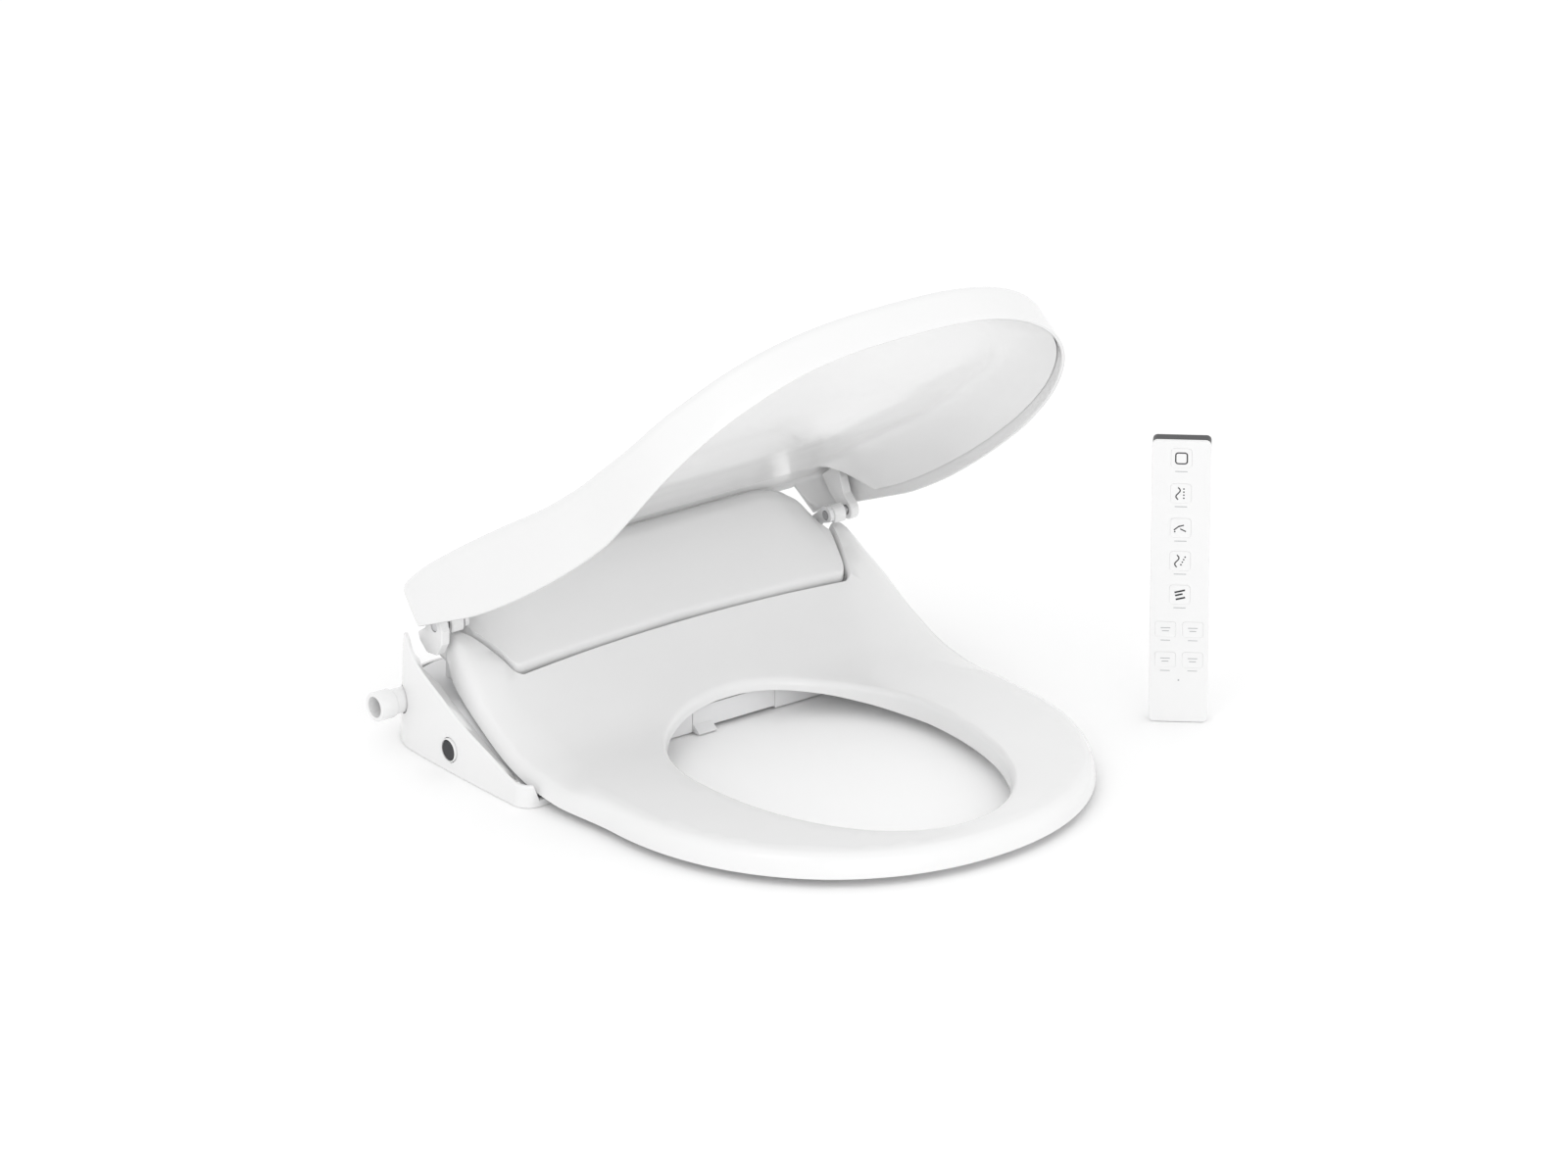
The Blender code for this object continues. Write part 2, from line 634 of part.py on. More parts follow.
def liner_rings(scale=1):
    """The hollow underside of the lid: rings from its edge to the middle."""
    edge = lid_outline(0.0, scale)
    edge = edge[edge[:, 1] < LINER_REAR]
    rings = []
    for share in (1.0, 0.94, 0.85, 0.72, 0.5, 0.22):
        ring = []
        for x, y in lid_outline(3.6, scale):
            px, py = x * share, LID_MIDDLE + (min(y, LINER_REAR) - LID_MIDDLE) * share
            t = min(np.linalg.norm(edge - (px, py), axis=1).min() / LINER_HOLLOW, 1.0)
            low, roof = lid_lower_z(py) + 1.5, lid_top_z(py) - 7.0
            ring.append((px, py, low + (roof - low) * (1 - (1 - t) ** 2.2)))
        rings.append(ring)
    return rings


def thick_skin(name, rings, thickness, material):
    """A closed sheet from rings that run inwards, thickened upwards."""
    bm = bmesh.new()
    lower = [[bm.verts.new(p) for p in ring] for ring in rings]
    upper = [[bm.verts.new((x, y, z + thickness)) for x, y, z in ring] for ring in rings]
    grid = lower[::-1] + upper
    count = len(rings[0])
    for a, b in zip(grid, grid[1:]):
        for i in range(count):
            j = (i + 1) % count
            bm.faces.new((a[i], a[j], b[j], b[i]))
    bm.faces.new(lower[-1])
    bm.faces.new(upper[-1])
    return from_bmesh(name, bm, material)


def build_lid():
    made = [surface("lid_shell", lid_rings(), WHITE),
            thick_skin("lid_liner", liner_rings(), 2.0, WHITE)]
    right = [(1.5, 105)] + arc((HINGE_Y, HINGE_Z), 7.5, 340, 180, 8)
    right += [(-13.5, 104), (-19, 115), (-22, 125.0), (0, 129.0), (2, 114)]
    left = [(3.5, 112), (3.8, 99.6), (15.0, 102.6), (18, 97), (17.5, 86), (8, 77.5), (-4, 79.5),
            (-12, 86), (-15.5, 94), (-15.5, 104), (-22, 115), (-25, 125.0), (0, 129.0)]
    for side, name, outline in ((-1, "left", left), (1, "right", right)):
        arm = side_plate("lid_arm_" + name, outline, *sorted((side * 184.6, side * 192.0)), WHITE,
                         0.8)
        made.append(cut(arm, hinge_bore("arm_bore_" + name, side, 180, 196)))
    for piece in made:
        pose(piece, -LID_REST_OPENING)
        for modifier in piece.modifiers:
            if modifier.type == "BOOLEAN":
                pose(modifier.object, -LID_REST_OPENING)


# ---------------------------------------------------------------- base
BASE_CORNER = 52.0
FLANGE = 9.5                   # how far the wall's top edge reaches in on the left
SHOULDER_END = 206.0           # the wall drops here, clear of the lid's corner as it opens
FRONT_WALL_Y = -97.4
DECK_CAP = 43.0
COVER_HALF_WIDTH = 164.3
COVER_REAR = 10.5
COVER_FOOT = 47.0
INLET_AXIS = (16.5, 33.0)      # y, z
BUTTON_AT = (-49.0, 16.5)      # y, z
FILTER_AT = (80.0, 20.0)       # x, z
GLAND_AT = (-60.0, 22.0)       # x, z


def base_width(x):
    return BASE_HALF_WIDTH if x < 0 else BASE_RIGHT_WIDTH


def base_side(w):
    """One side of the base in plan, from the middle of its front to the middle of its rear."""
    f, r = BASE_FRONT_CORNER, BASE_REAR
    half = [(x, FRONT_WALL_Y) for x in (0, 56, 104, 116)]
    half += [(124, -101), (132, -111), (138, -125), (145, -136), (154, f), (w - 28, f), (w - 14, f)]
    half += arc((w - 13, f + 13), 13, -75, 0, 5)
    half += [(w + 1.0 - ((y + 60) / 60) ** 2, y) for y in (-115, -95, -75, -60, -45, -25)]
    half += arc((w - BASE_CORNER, r - BASE_CORNER), BASE_CORNER, 0, 90, 10)
    return half + [(x, r) for x in (110, 60, 0)]


def base_outline(inset=0.0):
    """The base in plan: a closed loop that is wider on the left."""
    left = [(-x, y) for x, y in reversed(base_side(BASE_HALF_WIDTH)) if x > 0]
    return inset_loop(base_side(BASE_RIGHT_WIDTH) + left, inset)


def base_edge(x, y):
    """Height of the casing's top edge and how far its flange reaches in, at an outline point."""
    w = base_width(x)
    if y < -96 and abs(x) < w - 13.5:
        return (17.0 if abs(x) < 118 else 4.6), 5.0
    if x > 0:
        side = min(seat_lower_z(y) - 4.0, BASE_RIGHT_TOP)
        if y > 10:
            side = DECK_CAP + (side - DECK_CAP) * min(max((abs(x) - w + 37) / 30, 0), 1)
        return max(side, 3.8), 5.6
    if y > 10 and abs(x) < SHOULDER_END:
        fall = min((SHOULDER_END - abs(x)) / 14, 1)
        return 87.0 + (DECK_CAP - 87.0) * fall, 5.6
    inner = FLANGE if y < -12 else FLANGE - (FLANGE - 5.6) * min((y + 12) / 14, 1)
    inner = min(inner, 4.5 + max(y + 130, 0) / 4)
    return base_edge_z(y), inner


def case_section(x, y, inward):
    """The casing's wall and flange at one outline point."""
    top, reach = base_edge(x, y)
    lean = min(2.5, 0.06 * top)
    soft = min(2.0, 0.3 * top)
    flange = min(top - 0.3, max(seat_lower_z(y) - 3.4, 3.8)) if reach > 8 else top - 0.3
    skin = [(0.0, 0.0), (lean, top - soft), (lean + 0.6 * soft, top), (reach, flange)]
    inside = [(SHELL, 0.0), (lean + SHELL, top - soft - 1.2),
              (lean + 0.6 * soft + SHELL, top - SHELL), (reach, flange - SHELL)]
    if top < 6:
        inside = [(SHELL, 0.0), (SHELL, 1.2), (SHELL + 0.6, 1.6), (reach, 1.8)]
    return [(x + inward[0] * d, y + inward[1] * d, z) for d, z in skin + inside[::-1]]


def build_casing():
    rings = [case_section(x, y, (px - x, py - y))
             for (x, y), (px, py) in zip(base_outline(), base_outline(1.0))]
    casing = solid_loft("lower_case", rings, WHITE)
    w = BASE_HALF_WIDTH
    cut(casing,
        rod("inlet_hole", (-w - 5, *INLET_AXIS), (-w + 18, *INLET_AXIS), 10.4, SATIN, 32,
            collection=cutters),
        rod("button_hole", (-w - 6, *BUTTON_AT), (-w + 11, *BUTTON_AT), 9.5, SATIN, 28,
            collection=cutters),
        box("gate_hole", (NOZZLE_X, FRONT_WALL_Y + 1, 6), (79, 14, 40), SATIN, collection=cutters),
        box("filter_hole", (FILTER_AT[0], BASE_REAR, FILTER_AT[1]), (44.8, 16, 26.8), SATIN,
            collection=cutters),
        rod("gland_hole", (GLAND_AT[0], BASE_REAR - 8, GLAND_AT[1]),
            (GLAND_AT[0], BASE_REAR + 8, GLAND_AT[1]), 6.5, SATIN, 24, collection=cutters))


def build_base_plate():
    edge = [tuple(p) for p in base_outline(SHELL + 1.4) if p[1] > -91]
    front = [(edge[-1][0], -90), (edge[0][0], -90)]
    floor = plate("base_plate", front + edge, 0.0, 3.0, SATIN)
    cut(floor,
        box("bracket_window", (0, 4, 2), (191, 73, 12), SATIN, collection=cutters),
        box("nozzle_window", (NOZZLE_X, -84, 2), (40, 34, 12), SATIN, collection=cutters))
    bracket = box("mounting_bracket", (0, 4, 2.0), (190, 72, 4.0), GREY)
    for side, name in ((-1, "left"), (1, "right")):
        slot = [(side * 70 + x, y) for x, y in arc((0, 12), 6.5, 0, 180, 7) + arc((0, -12), 6.5, 180,
                                                                                360, 7)]
        cut(bracket, plate("bolt_slot_" + name, slot, -3, 8, GREY, collection=cutters))


def deck_z(x, y):
    """The deck below the seat: high in the middle over the nozzle, low under the flanks."""
    middle = min(max((135 - abs(x)) / 40, 0), 1)
    low = min(seat_lower_z(y) - 4.0, DECK_CAP)
    high = min(seat_top_z(y) - 16.0, DECK_CAP)
    return low + (high - low) * middle * middle * (3 - 2 * middle)


def deck_reach(w, y):
    """The deck stops at the casing's flange, and reaches its wall behind the seat."""
    if y < -14:
        return w - (14.0 if w > 200 else 8.0) - max(0.0, -y - 122.0) * 0.6
    reach = BASE_CORNER - 7.0
    beyond = min(max(y - (BASE_REAR - BASE_CORNER), 0.0), reach)
    return w - BASE_CORNER + sqrt(reach**2 - beyond**2)


def build_deck():
    bm = bmesh.new()
    rows = (-133, -120, -108, -98, -88, -76, -64, -52, -40, -28, -14.2, -13.4, -2, 10, 22, 33, 41)
    shares = (-1, -0.86, -0.72, -0.6, -0.45, 0, 0.45, 0.6, 0.72, 0.86, 1)
    top, bottom = [], []
    for y in rows:
        line = [(deck_reach(base_width(share), y) * share, y) for share in shares]
        top.append([bm.verts.new((x, y, deck_z(x, y))) for x, y in line])
        bottom.append([bm.verts.new((x, y, deck_z(x, y) - 2.2)) for x, y in line])
    for grid in (top, bottom):
        for a, b in zip(grid, grid[1:]):
            for i in range(len(a) - 1):
                bm.faces.new((a[i], a[i + 1], b[i + 1], b[i]))
    for high, low in ((top[0], bottom[0]), (top[-1], bottom[-1]),
                      ([r[0] for r in top], [r[0] for r in bottom]),
                      ([r[-1] for r in top], [r[-1] for r in bottom])):
        for i in range(len(high) - 1):
            bm.faces.new((high[i], high[i + 1], low[i + 1], low[i]))
    front = [tuple(p) for p in base_outline(6.5) if 1 < p[0] < 156 and p[1] < -88]
    recess = mirrored([(0, front[0][1])] + front + [(front[-1][0], -145)])
    cut(from_bmesh("deck", bm, SATIN),
        plate("front_recess", recess, -5, 60, SATIN, collection=cutters),
        box("cover_opening", (0, -8, 50), (300, 64, 60), SATIN, collection=cutters),
        box("nozzle_slot", (NOZZLE_X, -50, 50), (26, 44.6, 60), SATIN, collection=cutters))


def cover_rows():
    """Side-view rows of the cover, each from its front foot over the ridge to its rear foot."""
    ridge = smooth([(0, 120), (112, 120), (128, 117), (142, 110.5), (152, 104), (158, 98),
                    (162.5, 91), (COVER_HALF_WIDTH, 60)])
    start = smooth([(0, -46), (136, -49.7), (145, -50.2), (149, -49.2), (151.5, -46.5),
                    (155, -36.6), (160, -22.7), (COVER_HALF_WIDTH, -10.8)])
    drum = [(cos(radians(a)), sin(radians(a))) for a in (34, 14, -8, -30, -50)]
    right = [60, 105, 124, 138, 145, 149, 151.5, 155, 159, 162, 163.7, COVER_HALF_WIDTH]
    rows = []
    for x in [-s for s in reversed(right)] + [0] + right:
        y0, high = start(abs(x)), ridge(abs(x))
        z0 = min(seat_top_z(y0) + 1.5, high)
        row = [(x, y0 + 1.5, COVER_FOOT), (x, y0, z0 - 3), (x, y0 + 0.5, z0)]
        for y, z in PANEL_PROFILE[1:7]:
            row.append((x, y0 + (y + 46) * (19 - y0) / 65, z0 + (z - 70) / 50 * (high - z0)))
        lowered = min(1.0, (high - COVER_FOOT) / (112 - COVER_FOOT))
        for c, s in drum:
            z = COVER_FOOT + (HINGE_Z + 33.5 * s - COVER_FOOT) * lowered
            row.append((x, HINGE_Y + 33.5 * c, min(z, high)))
        row.append((x, COVER_REAR, COVER_FOOT))
        rows.append(row)
    return rows


def build_top_cover():
    rows = cover_rows()
    hollow = []
    for row in rows:
        x = row[0][0]
        if abs(x) < 160:
            path = offset_path([(y, z) for _, y, z in row], SHELL)
            path[0] = (row[0][1] + SHELL, COVER_FOOT - 4)
            path[-1] = (row[-1][1] - SHELL, COVER_FOOT - 4)
            hollow.append([(x, y, z) for y, z in path])
    cut(capped_loft("top_cover", rows, WHITE),
        capped_loft("cover_hollow", hollow, WHITE, cutters))


def build_hinges():
    """Pins and the brackets that carry them, behind the horns."""
    outline = [(5, DECK_CAP + 0.4), (13, DECK_CAP + 0.4), (11, 88)]
    outline += arc((HINGE_Y, HINGE_Z), 7.0, 20, 200, 9) + [(-10, 89.5), (0, 86), (5, 78)]
    for side, name in ((-1, "left"), (1, "right")):
        bracket = side_plate("hinge_bracket_" + name, outline,
                             *sorted((side * 165.4, side * 168.6)), SATIN)
        cut(bracket, hinge_bore("bracket_bore_" + name, side, 162, 172))
        rod("hinge_pin_" + name, (side * 165.2, HINGE_Y, HINGE_Z), (side * 191.5, HINGE_Y, HINGE_Z),
            PIN_RADIUS, STEEL, 20)


# ---------------------------------------------------------------- nozzle bay
FASCIA_FRONT = -100.6
FASCIA_TOP = 22.6
FLOW = Vector((0, -cos(radians(NOZZLE_SLOPE)), -sin(radians(NOZZLE_SLOPE))))
RISE = Vector((0, -sin(radians(NOZZLE_SLOPE)), cos(radians(NOZZLE_SLOPE))))
NOZZLE_TIP = Vector((NOZZLE_X, -72.8, 19.4))
PINION_RADIUS = 6.0


def along_nozzle(distance, above=0.0, aside=0.0):
    """A point behind the nozzle's tip, above its axis and to its side."""
    return NOZZLE_TIP - FLOW * distance + RISE * above + Vector((aside, 0, 0))


def build_nozzle():
    tilt = Matrix.Rotation(radians(NOZZLE_SLOPE), 3, "X")
    wand = rod("nozzle_wand", along_nozzle(14.4), along_nozzle(NOZZLE_LENGTH), NOZZLE_RADIUS, WHITE,
               24)
    bevel(wand, 0.6, 1)
    tip = rod("nozzle_tip", along_nozzle(0), along_nozzle(14.0), NOZZLE_RADIUS, STEEL, 24)
    cut(tip, box("spray_recess", along_nozzle(6.0, NOZZLE_RADIUS), (3.2, 5.0, 2.0), DARK,
                 turn=tilt, collection=cutters))
    box("nozzle_cradle", along_nozzle(55, -NOZZLE_RADIUS - 3.2), (16, 66, 4.6), SATIN, 0.8, 1,
        tilt)
    gear = along_nozzle(62, NOZZLE_RADIUS + PINION_RADIUS + 0.8)
    side = Vector((1, 0, 0))
    rod("drive_pinion", gear - side * 4, gear + side * 4, PINION_RADIUS, GREY, 16)
    motor = rod("nozzle_motor", gear + side * 6.4, gear + side * 28, 9.5, GREY, 28)
    bevel(motor, 1.0, 1)


def build_fascia():
    fascia = box("nozzle_fascia", (0, FASCIA_FRONT + 1.2, 1 + FASCIA_TOP / 2 - 0.5),
                 (224, 2.4, FASCIA_TOP - 1), WHITE, 0.5, 1)
    left, right = NOZZLE_X - GATE_HALF_WIDTH, NOZZLE_X + GATE_HALF_WIDTH
    cut(fascia, box("gate_window", (NOZZLE_X, FASCIA_FRONT, 8.7),
                    (2 * GATE_HALF_WIDTH + 1.0, 12, 24), WHITE, collection=cutters))
    gate = box("nozzle_gate", (NOZZLE_X, FASCIA_FRONT + 1.1, 11.6), (right - left, 2.4, 16.8), WHITE)
    lip = [(FASCIA_FRONT + 1.4, 7.0), (FASCIA_FRONT - 0.4, 6.6), (FASCIA_FRONT - 7.2, 1.8),
           (FASCIA_FRONT - 6.6, 0.7), (FASCIA_FRONT + 1.4, 0.7)]
    tab = side_plate("gate_lip", lip, left + 0.5, left + 17.0, WHITE, collection=cutters)
    cut(gate, tab, operation="UNION")


# ---------------------------------------------------------------- works inside the base
def build_works():
    box("heater_tank", (-72, -14, 30), (66, 40, 46), SATIN, 3.0, 2)
    box("inlet_valve", (-150, 14, 24), (34, 30, 28), GREY, 1.5, 1)
    pump = rod("pump", (44, -32, 20), (44, 8, 20), 13.0, GREY, 28)
    bevel(pump, 1.5, 2)
    box("circuit_board", (108, -14, 57), (76, 44, 1.6), BOARD)
    box("power_supply", (108, -14, 26), (60, 40, 40), DARK, 2.0, 1)
    hose("hose_valve_tank", [(-132.2, 8, 24), (-126, 8, 24), (-112, 0, 24), (-105.6, 0, 24)], 3.5, RUBBER)
    hose("hose_tank_pump", [(-38.4, -14, 14), (-30, -14, 14), (6, -10, 12), (24, -10, 18),
                            (30.4, -10, 18)], 3.5, RUBBER)
    hose("hose_pump_nozzle", [(44, 10.2, 22), (44, 14, 22), (33, 13, 38), (21, 4, 46)], 3.0, RUBBER)
    y, z = INLET_AXIS
    w = BASE_HALF_WIDTH
    turned("water_inlet", [(6.6, 0), (6.6, 33), (9.4, 33), (9.4, 46), (10.9, 47.4), (10.9, 60.4),
                           (10.2, 61), (8.2, 61), (7.8, 60.4), (7.8, 36), (5.0, 36), (5.0, 0)],
           (-w + 41, y, z), (-1, 0, 0), WHITE)
    x, z = GLAND_AT
    turned("cord_gland", [(6.1, -5), (6.1, 0.4), (9.0, 0.4), (8.2, 3.4), (5.4, 4.6), (3.6, 4.6),
                          (3.6, -5)], (x, BASE_REAR, z), (0, 1, 0), RUBBER, 24)
    x, z = FILTER_AT
    box("deodoriser_cartridge", (x, BASE_REAR - 16.8, z), (44, 34, 26), SATIN, 0.8, 1)
    blower = (126, -66, 5.0)
    turned("dryer_housing", [(19.0, 0), (19.0, 14), (17.4, 14), (17.4, 1.6), (3.0, 1.6), (3.0, 0)],
           blower, (0, 0, 1), GREY)
    turned("dryer_impeller", [(16.2, 2.6), (16.2, 12), (14.0, 12), (14.0, 4), (4.0, 4), (4.0, 12),
                              (2.0, 12), (2.0, 2.6)], blower, (0, 0, 1), DARK, 24)


def build_button():
    y, z = BUTTON_AT
    w = BASE_HALF_WIDTH
    turned("button_bezel", [(9.0, -9.5), (9.0, 1.3), (8.6, 1.6), (7.9, 1.4), (7.9, -9.5)],
           (-w, y, z), (-1, 0, 0), WHITE, 32)
    button = rod("side_button", (-w + 9, y, z), (-w - 1.2, y, z), 7.5, DARK, 32)
    bevel(button, 0.7, 2)


# ---------------------------------------------------------------- remote control
KEY_HEIGHTS = [207.5, 180.0, 153.0, 127.0, 100.5]
SMALL_KEYS = [(-10.0, 73.0), (10.0, 73.0), (-10.0, 49.0), (10.0, 49.0)]
KEY_SIZE = 15.0
SMALL_KEY = (15.0, 12.0)
KEY_THICKNESS = 2.6
REMOTE_FACE = -REMOTE_DEPTH / 2
FRONT_PANEL = 3.4


def rounded_rectangle(centre, size, radius, steps=4):
    w, h = size[0] / 2 - radius, size[1] / 2 - radius
    points = []
    for sx, sy, start in ((1, 1, 0), (-1, 1, 90), (-1, -1, 180), (1, -1, 270)):
        points += arc((centre[0] + sx * w, centre[1] + sy * h), radius, start, start + 90, steps)
    return points


def front_plate(name, centre, size, radius, near, far, material, edge=0.0, collection=parts):
    """A rounded rectangle in the remote's own frame: face in x and z, thickness along y."""
    made = plate(name, rounded_rectangle(centre, size, radius), -far, -near, material, edge,
                 collection=collection)
    turn = Matrix(((1, 0, 0, 0), (0, 0, -1, 0), (0, 1, 0, 0), (0, 0, 0, 1)))
    made.matrix_world = turn @ made.matrix_world
    return made


def build_remote():
    w, h, d = REMOTE_WIDTH, REMOTE_HEIGHT, REMOTE_DEPTH
    f = REMOTE_FACE
    made = []
    panel = front_plate("remote_front", (0, h / 2), (w, h), 4.0, f, f + FRONT_PANEL, WHITE, 0.5)
    made.append(panel)
    holes = []
    for i, z in enumerate(KEY_HEIGHTS):
        key = front_plate("remote_key_%d" % (i + 1), (0, z), (KEY_SIZE, KEY_SIZE), 2.5, f,
                          f + KEY_THICKNESS, WHITE)
        holes.append(front_plate("key_hole_%d" % (i + 1), (0, z), (KEY_SIZE + 0.6, KEY_SIZE + 0.6),
                                 2.8, f - 4, f + 8, WHITE, collection=cutters))
        made.append(key)
    for i, (x, z) in enumerate(SMALL_KEYS):
        size = SMALL_KEY
        key = front_plate("remote_small_key_%d" % (i + 1), (x, z), size, 2.0, f,
                          f + KEY_THICKNESS, WHITE)
        holes.append(front_plate("small_hole_%d" % (i + 1), (x, z), (size[0] + 0.6, size[1] + 0.6),
                                 2.3, f - 4, f + 8, WHITE, collection=cutters))
        made.append(key)
    cut(panel, *holes)
    cap_low = h - 17.0
    back = front_plate("remote_back", (0, cap_low / 2), (w - 0.6, cap_low), 3.5,
                       f + FRONT_PANEL + 0.3, d / 2, SATIN, 0.6)
    pocket = front_plate("remote_pocket", (0, cap_low / 2), (w - 5, cap_low - 5), 2.0,
                         f + FRONT_PANEL - 2, d / 2 - 1.6, SATIN, collection=cutters)
    door_hole = front_plate("door_hole", (0, 52), (30.6, 70.6), 2.3, 0, d, SATIN,
                            collection=cutters)
    made.append(cut(back, pocket, door_hole))
    cap = front_plate("remote_window", (0, h - 8.4), (w - 0.4, 16.4), 3.5, f + FRONT_PANEL + 0.3,
                      d / 2, DARK, 0.6)
    made.append(cap)
    made.append(front_plate("battery_door", (0, 52), (30, 70), 2.0, d / 2 - 1.4, d / 2, SATIN))
    made.append(front_plate("remote_board", (0, 125), (36, 148), 1.0, f + FRONT_PANEL + 1.0,
                            f + FRONT_PANEL + 2.2, BOARD))
    made.append(rod("battery", (0, 0.6, 52), (0, 3.8, 52), 10.0, STEEL, 28))
    stand = (Matrix.Translation(Vector((*REMOTE_BASE, 0)) * MM)
             @ Matrix.Rotation(radians(REMOTE_YAW), 4, "Z"))
    for piece in made + holes + [pocket, door_hole]:
        piece.matrix_world = stand @ piece.matrix_world


build_seat()
build_lid()
build_casing()
build_base_plate()
build_deck()
build_top_cover()
build_hinges()
build_nozzle()
build_fascia()
build_works()
build_button()
build_remote()
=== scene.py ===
"""The looks of an electric bidet seat with a half-open lid and an upright remote control.

Shapes are drawn in millimetres in the model's own frame, and scaled to metres as they are made.
"""

import json
from math import cos, pi, radians, sin, sqrt

import bmesh
import bpy
import numpy as np
from mathutils import Matrix, Vector
from mathutils.geometry import delaunay_2d_cdt


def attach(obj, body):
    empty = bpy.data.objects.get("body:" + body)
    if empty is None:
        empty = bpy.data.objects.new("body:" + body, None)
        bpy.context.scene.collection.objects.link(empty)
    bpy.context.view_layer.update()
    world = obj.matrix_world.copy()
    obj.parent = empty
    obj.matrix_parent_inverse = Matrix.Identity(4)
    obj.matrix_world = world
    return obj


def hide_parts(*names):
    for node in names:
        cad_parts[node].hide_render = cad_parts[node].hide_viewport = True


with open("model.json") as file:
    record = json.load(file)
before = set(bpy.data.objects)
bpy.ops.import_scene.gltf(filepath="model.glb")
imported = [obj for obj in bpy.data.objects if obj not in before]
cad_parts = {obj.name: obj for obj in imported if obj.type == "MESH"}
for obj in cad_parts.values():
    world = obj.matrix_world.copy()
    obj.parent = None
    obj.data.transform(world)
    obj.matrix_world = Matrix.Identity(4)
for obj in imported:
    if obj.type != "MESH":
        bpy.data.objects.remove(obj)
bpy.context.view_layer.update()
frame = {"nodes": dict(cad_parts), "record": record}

MM = 0.001
FINE = 3                       # how much finer than the CAD outlines are

# ---------------------------------------------------------------- sizes shared with the CAD
RING_HALF_WIDTH = 190.0
RING_FRONT = -420.0
RING_WIDEST = -221.0
RING_UNDERSIDE = 6.0
HOLE_HALF_WIDTH = 109.0
HOLE_CENTRE = -219.0
HOLE_FRONT = -388.0
HOLE_REAR = -105.0
HORN_TIP = (174.0, -8.0)
HORN_RADIUS = 7.0
HORN_UNDERSIDE = 64.0
NOTCH_CORNER = (145.5, -44.4)
NOTCH_RADIUS = 8.0
NOTCH_DEPTH = 9.0
BASE_HALF_WIDTH = 210.0        # on the left, where the controls and the water inlet are
BASE_RIGHT_WIDTH = 187.0       # on the right it hides under the seat
BASE_RIGHT_TOP = 54.0
FLANGE = 16.0                  # how far the left wall's top edge reaches in under the seat
SHOULDER_END = 206.0           # the left wall drops here, behind the lid's corner
BASE_REAR = 48.0
BASE_FRONT_CORNER = -141.0
BASE_CORNER = 52.0
FRONT_WALL_Y = -97.4
DECK_CAP = 43.0
HINGE_Y = -6.0
HINGE_Z = 94.0
LID_REST_OPENING = 48.2
LID_FRONT = -424.0
LID_REAR = 15.0
LID_HALF_WIDTH_FRONT = 188.5
LID_HALF_WIDTH_REAR = 200.0
LID_WIDEST_FRONT = -250.0
LID_CORNER = 22.0
LID_CROWN = 5.0
LID_MIDDLE = -200.0
LID_TAIL_LOW = 131.5
LID_TAIL_HALF_WIDTH = 168.0
LINER_REAR = -30.0
LINER_HOLLOW = 45.0
SHELL = 2.6
COVER_HALF_WIDTH = 164.3
COVER_REAR = 10.5
COVER_FOOT = 47.0
INLET_AXIS = (16.5, 33.0)
BUTTON_AT = (-49.0, 16.5)
FILTER_AT = (80.0, 20.0)
GLAND_AT = (-60.0, 22.0)
NOZZLE_X = 9.0
REMOTE_BASE = (272.5, -292.0)
REMOTE_YAW = -41.0
REMOTE_WIDTH = 43.0
REMOTE_HEIGHT = 221.0
REMOTE_DEPTH = 14.0
KEY_HEIGHTS = [207.5, 180.0, 153.0, 127.0, 100.5]
KEY = ((15.0, 15.0), 2.5)      # size and corner radius
SMALL_KEY = ((15.0, 12.0), 2.0)
KEY_GAP = 0.02                 # the joint round a key is a hairline
KEY_THICKNESS = 2.6
SMALL_KEYS = [(-10.0, 73.0), (10.0, 73.0), (-10.0, 49.0), (10.0, 49.0)]
SEAT_TOP = [(-420, 24), (-150, 24), (-125, 26), (-106, 31), (-90, 38.5), (-74, 47.5),
            (-60, 58), (-48, 68.5), (-35, 76.5), (-13, 85), (10, 87)]
SEAT_LOWER_EDGE = [(-420, 6), (-165, 6), (-152, 7), (-124, 12), (-100, 19), (-51, 40),
                   (-16, 56), (-5, 64), (10, 70)]
BASE_EDGE = [(-141, 16.5), (-131, 17), (-94, 29), (-57, 42), (-39, 51), (-5, 68), (7, 78),
             (20, 87), (48, 88)]
LID_TOP = [(-424, 77), (-400, 72.5), (-360, 68), (-318, 67), (-257, 73.5), (-195, 86),
           (-134, 104), (-73, 121), (-21, 133), (15, 137)]
LID_LOWER_EDGE = [(-424, 45.5), (-390, 36), (-340, 28.5), (-284, 25), (-250, 26), (-218, 30),
                  (-146, 45), (-74, 67), (-35, 84), (15, 107)]
SEAT_FLANK = [(-225, 190), (-221, 190), (-165, 194.5), (-115, 196), (-60, 192.5), (-25, 187),
              (-8, 181)]      # (y, x) from the round front to the horn
PANEL_PROFILE = [(-46, 70), (-30, 84), (-10, 102), (0, 111), (7, 117.5), (13, 120), (19, 118.5)]


# ---------------------------------------------------------------- materials
def node(tree, kind, **sockets):
    made = tree.nodes.new(kind)
    for name, value in sockets.items():
        made.inputs[name.replace("_", " ")].default_value = value
    return made


def noise(tree, scale, detail=2.0):
    """Noise in the object's own coordinates, one unit to the metre."""
    where = tree.nodes.new("ShaderNodeTexCoord")
    made = node(tree, "ShaderNodeTexNoise", Scale=scale, Detail=detail)
    tree.links.new(where.outputs["Object"], made.inputs["Vector"])
    return made


def ramp(tree, source, low, high):
    """A colour that drifts between two tones."""
    made = tree.nodes.new("ShaderNodeValToRGB")
    made.color_ramp.elements[0].color = (*low, 1)
    made.color_ramp.elements[1].color = (*high, 1)
    tree.links.new(source.outputs["Fac"], made.inputs["Fac"])
    return made


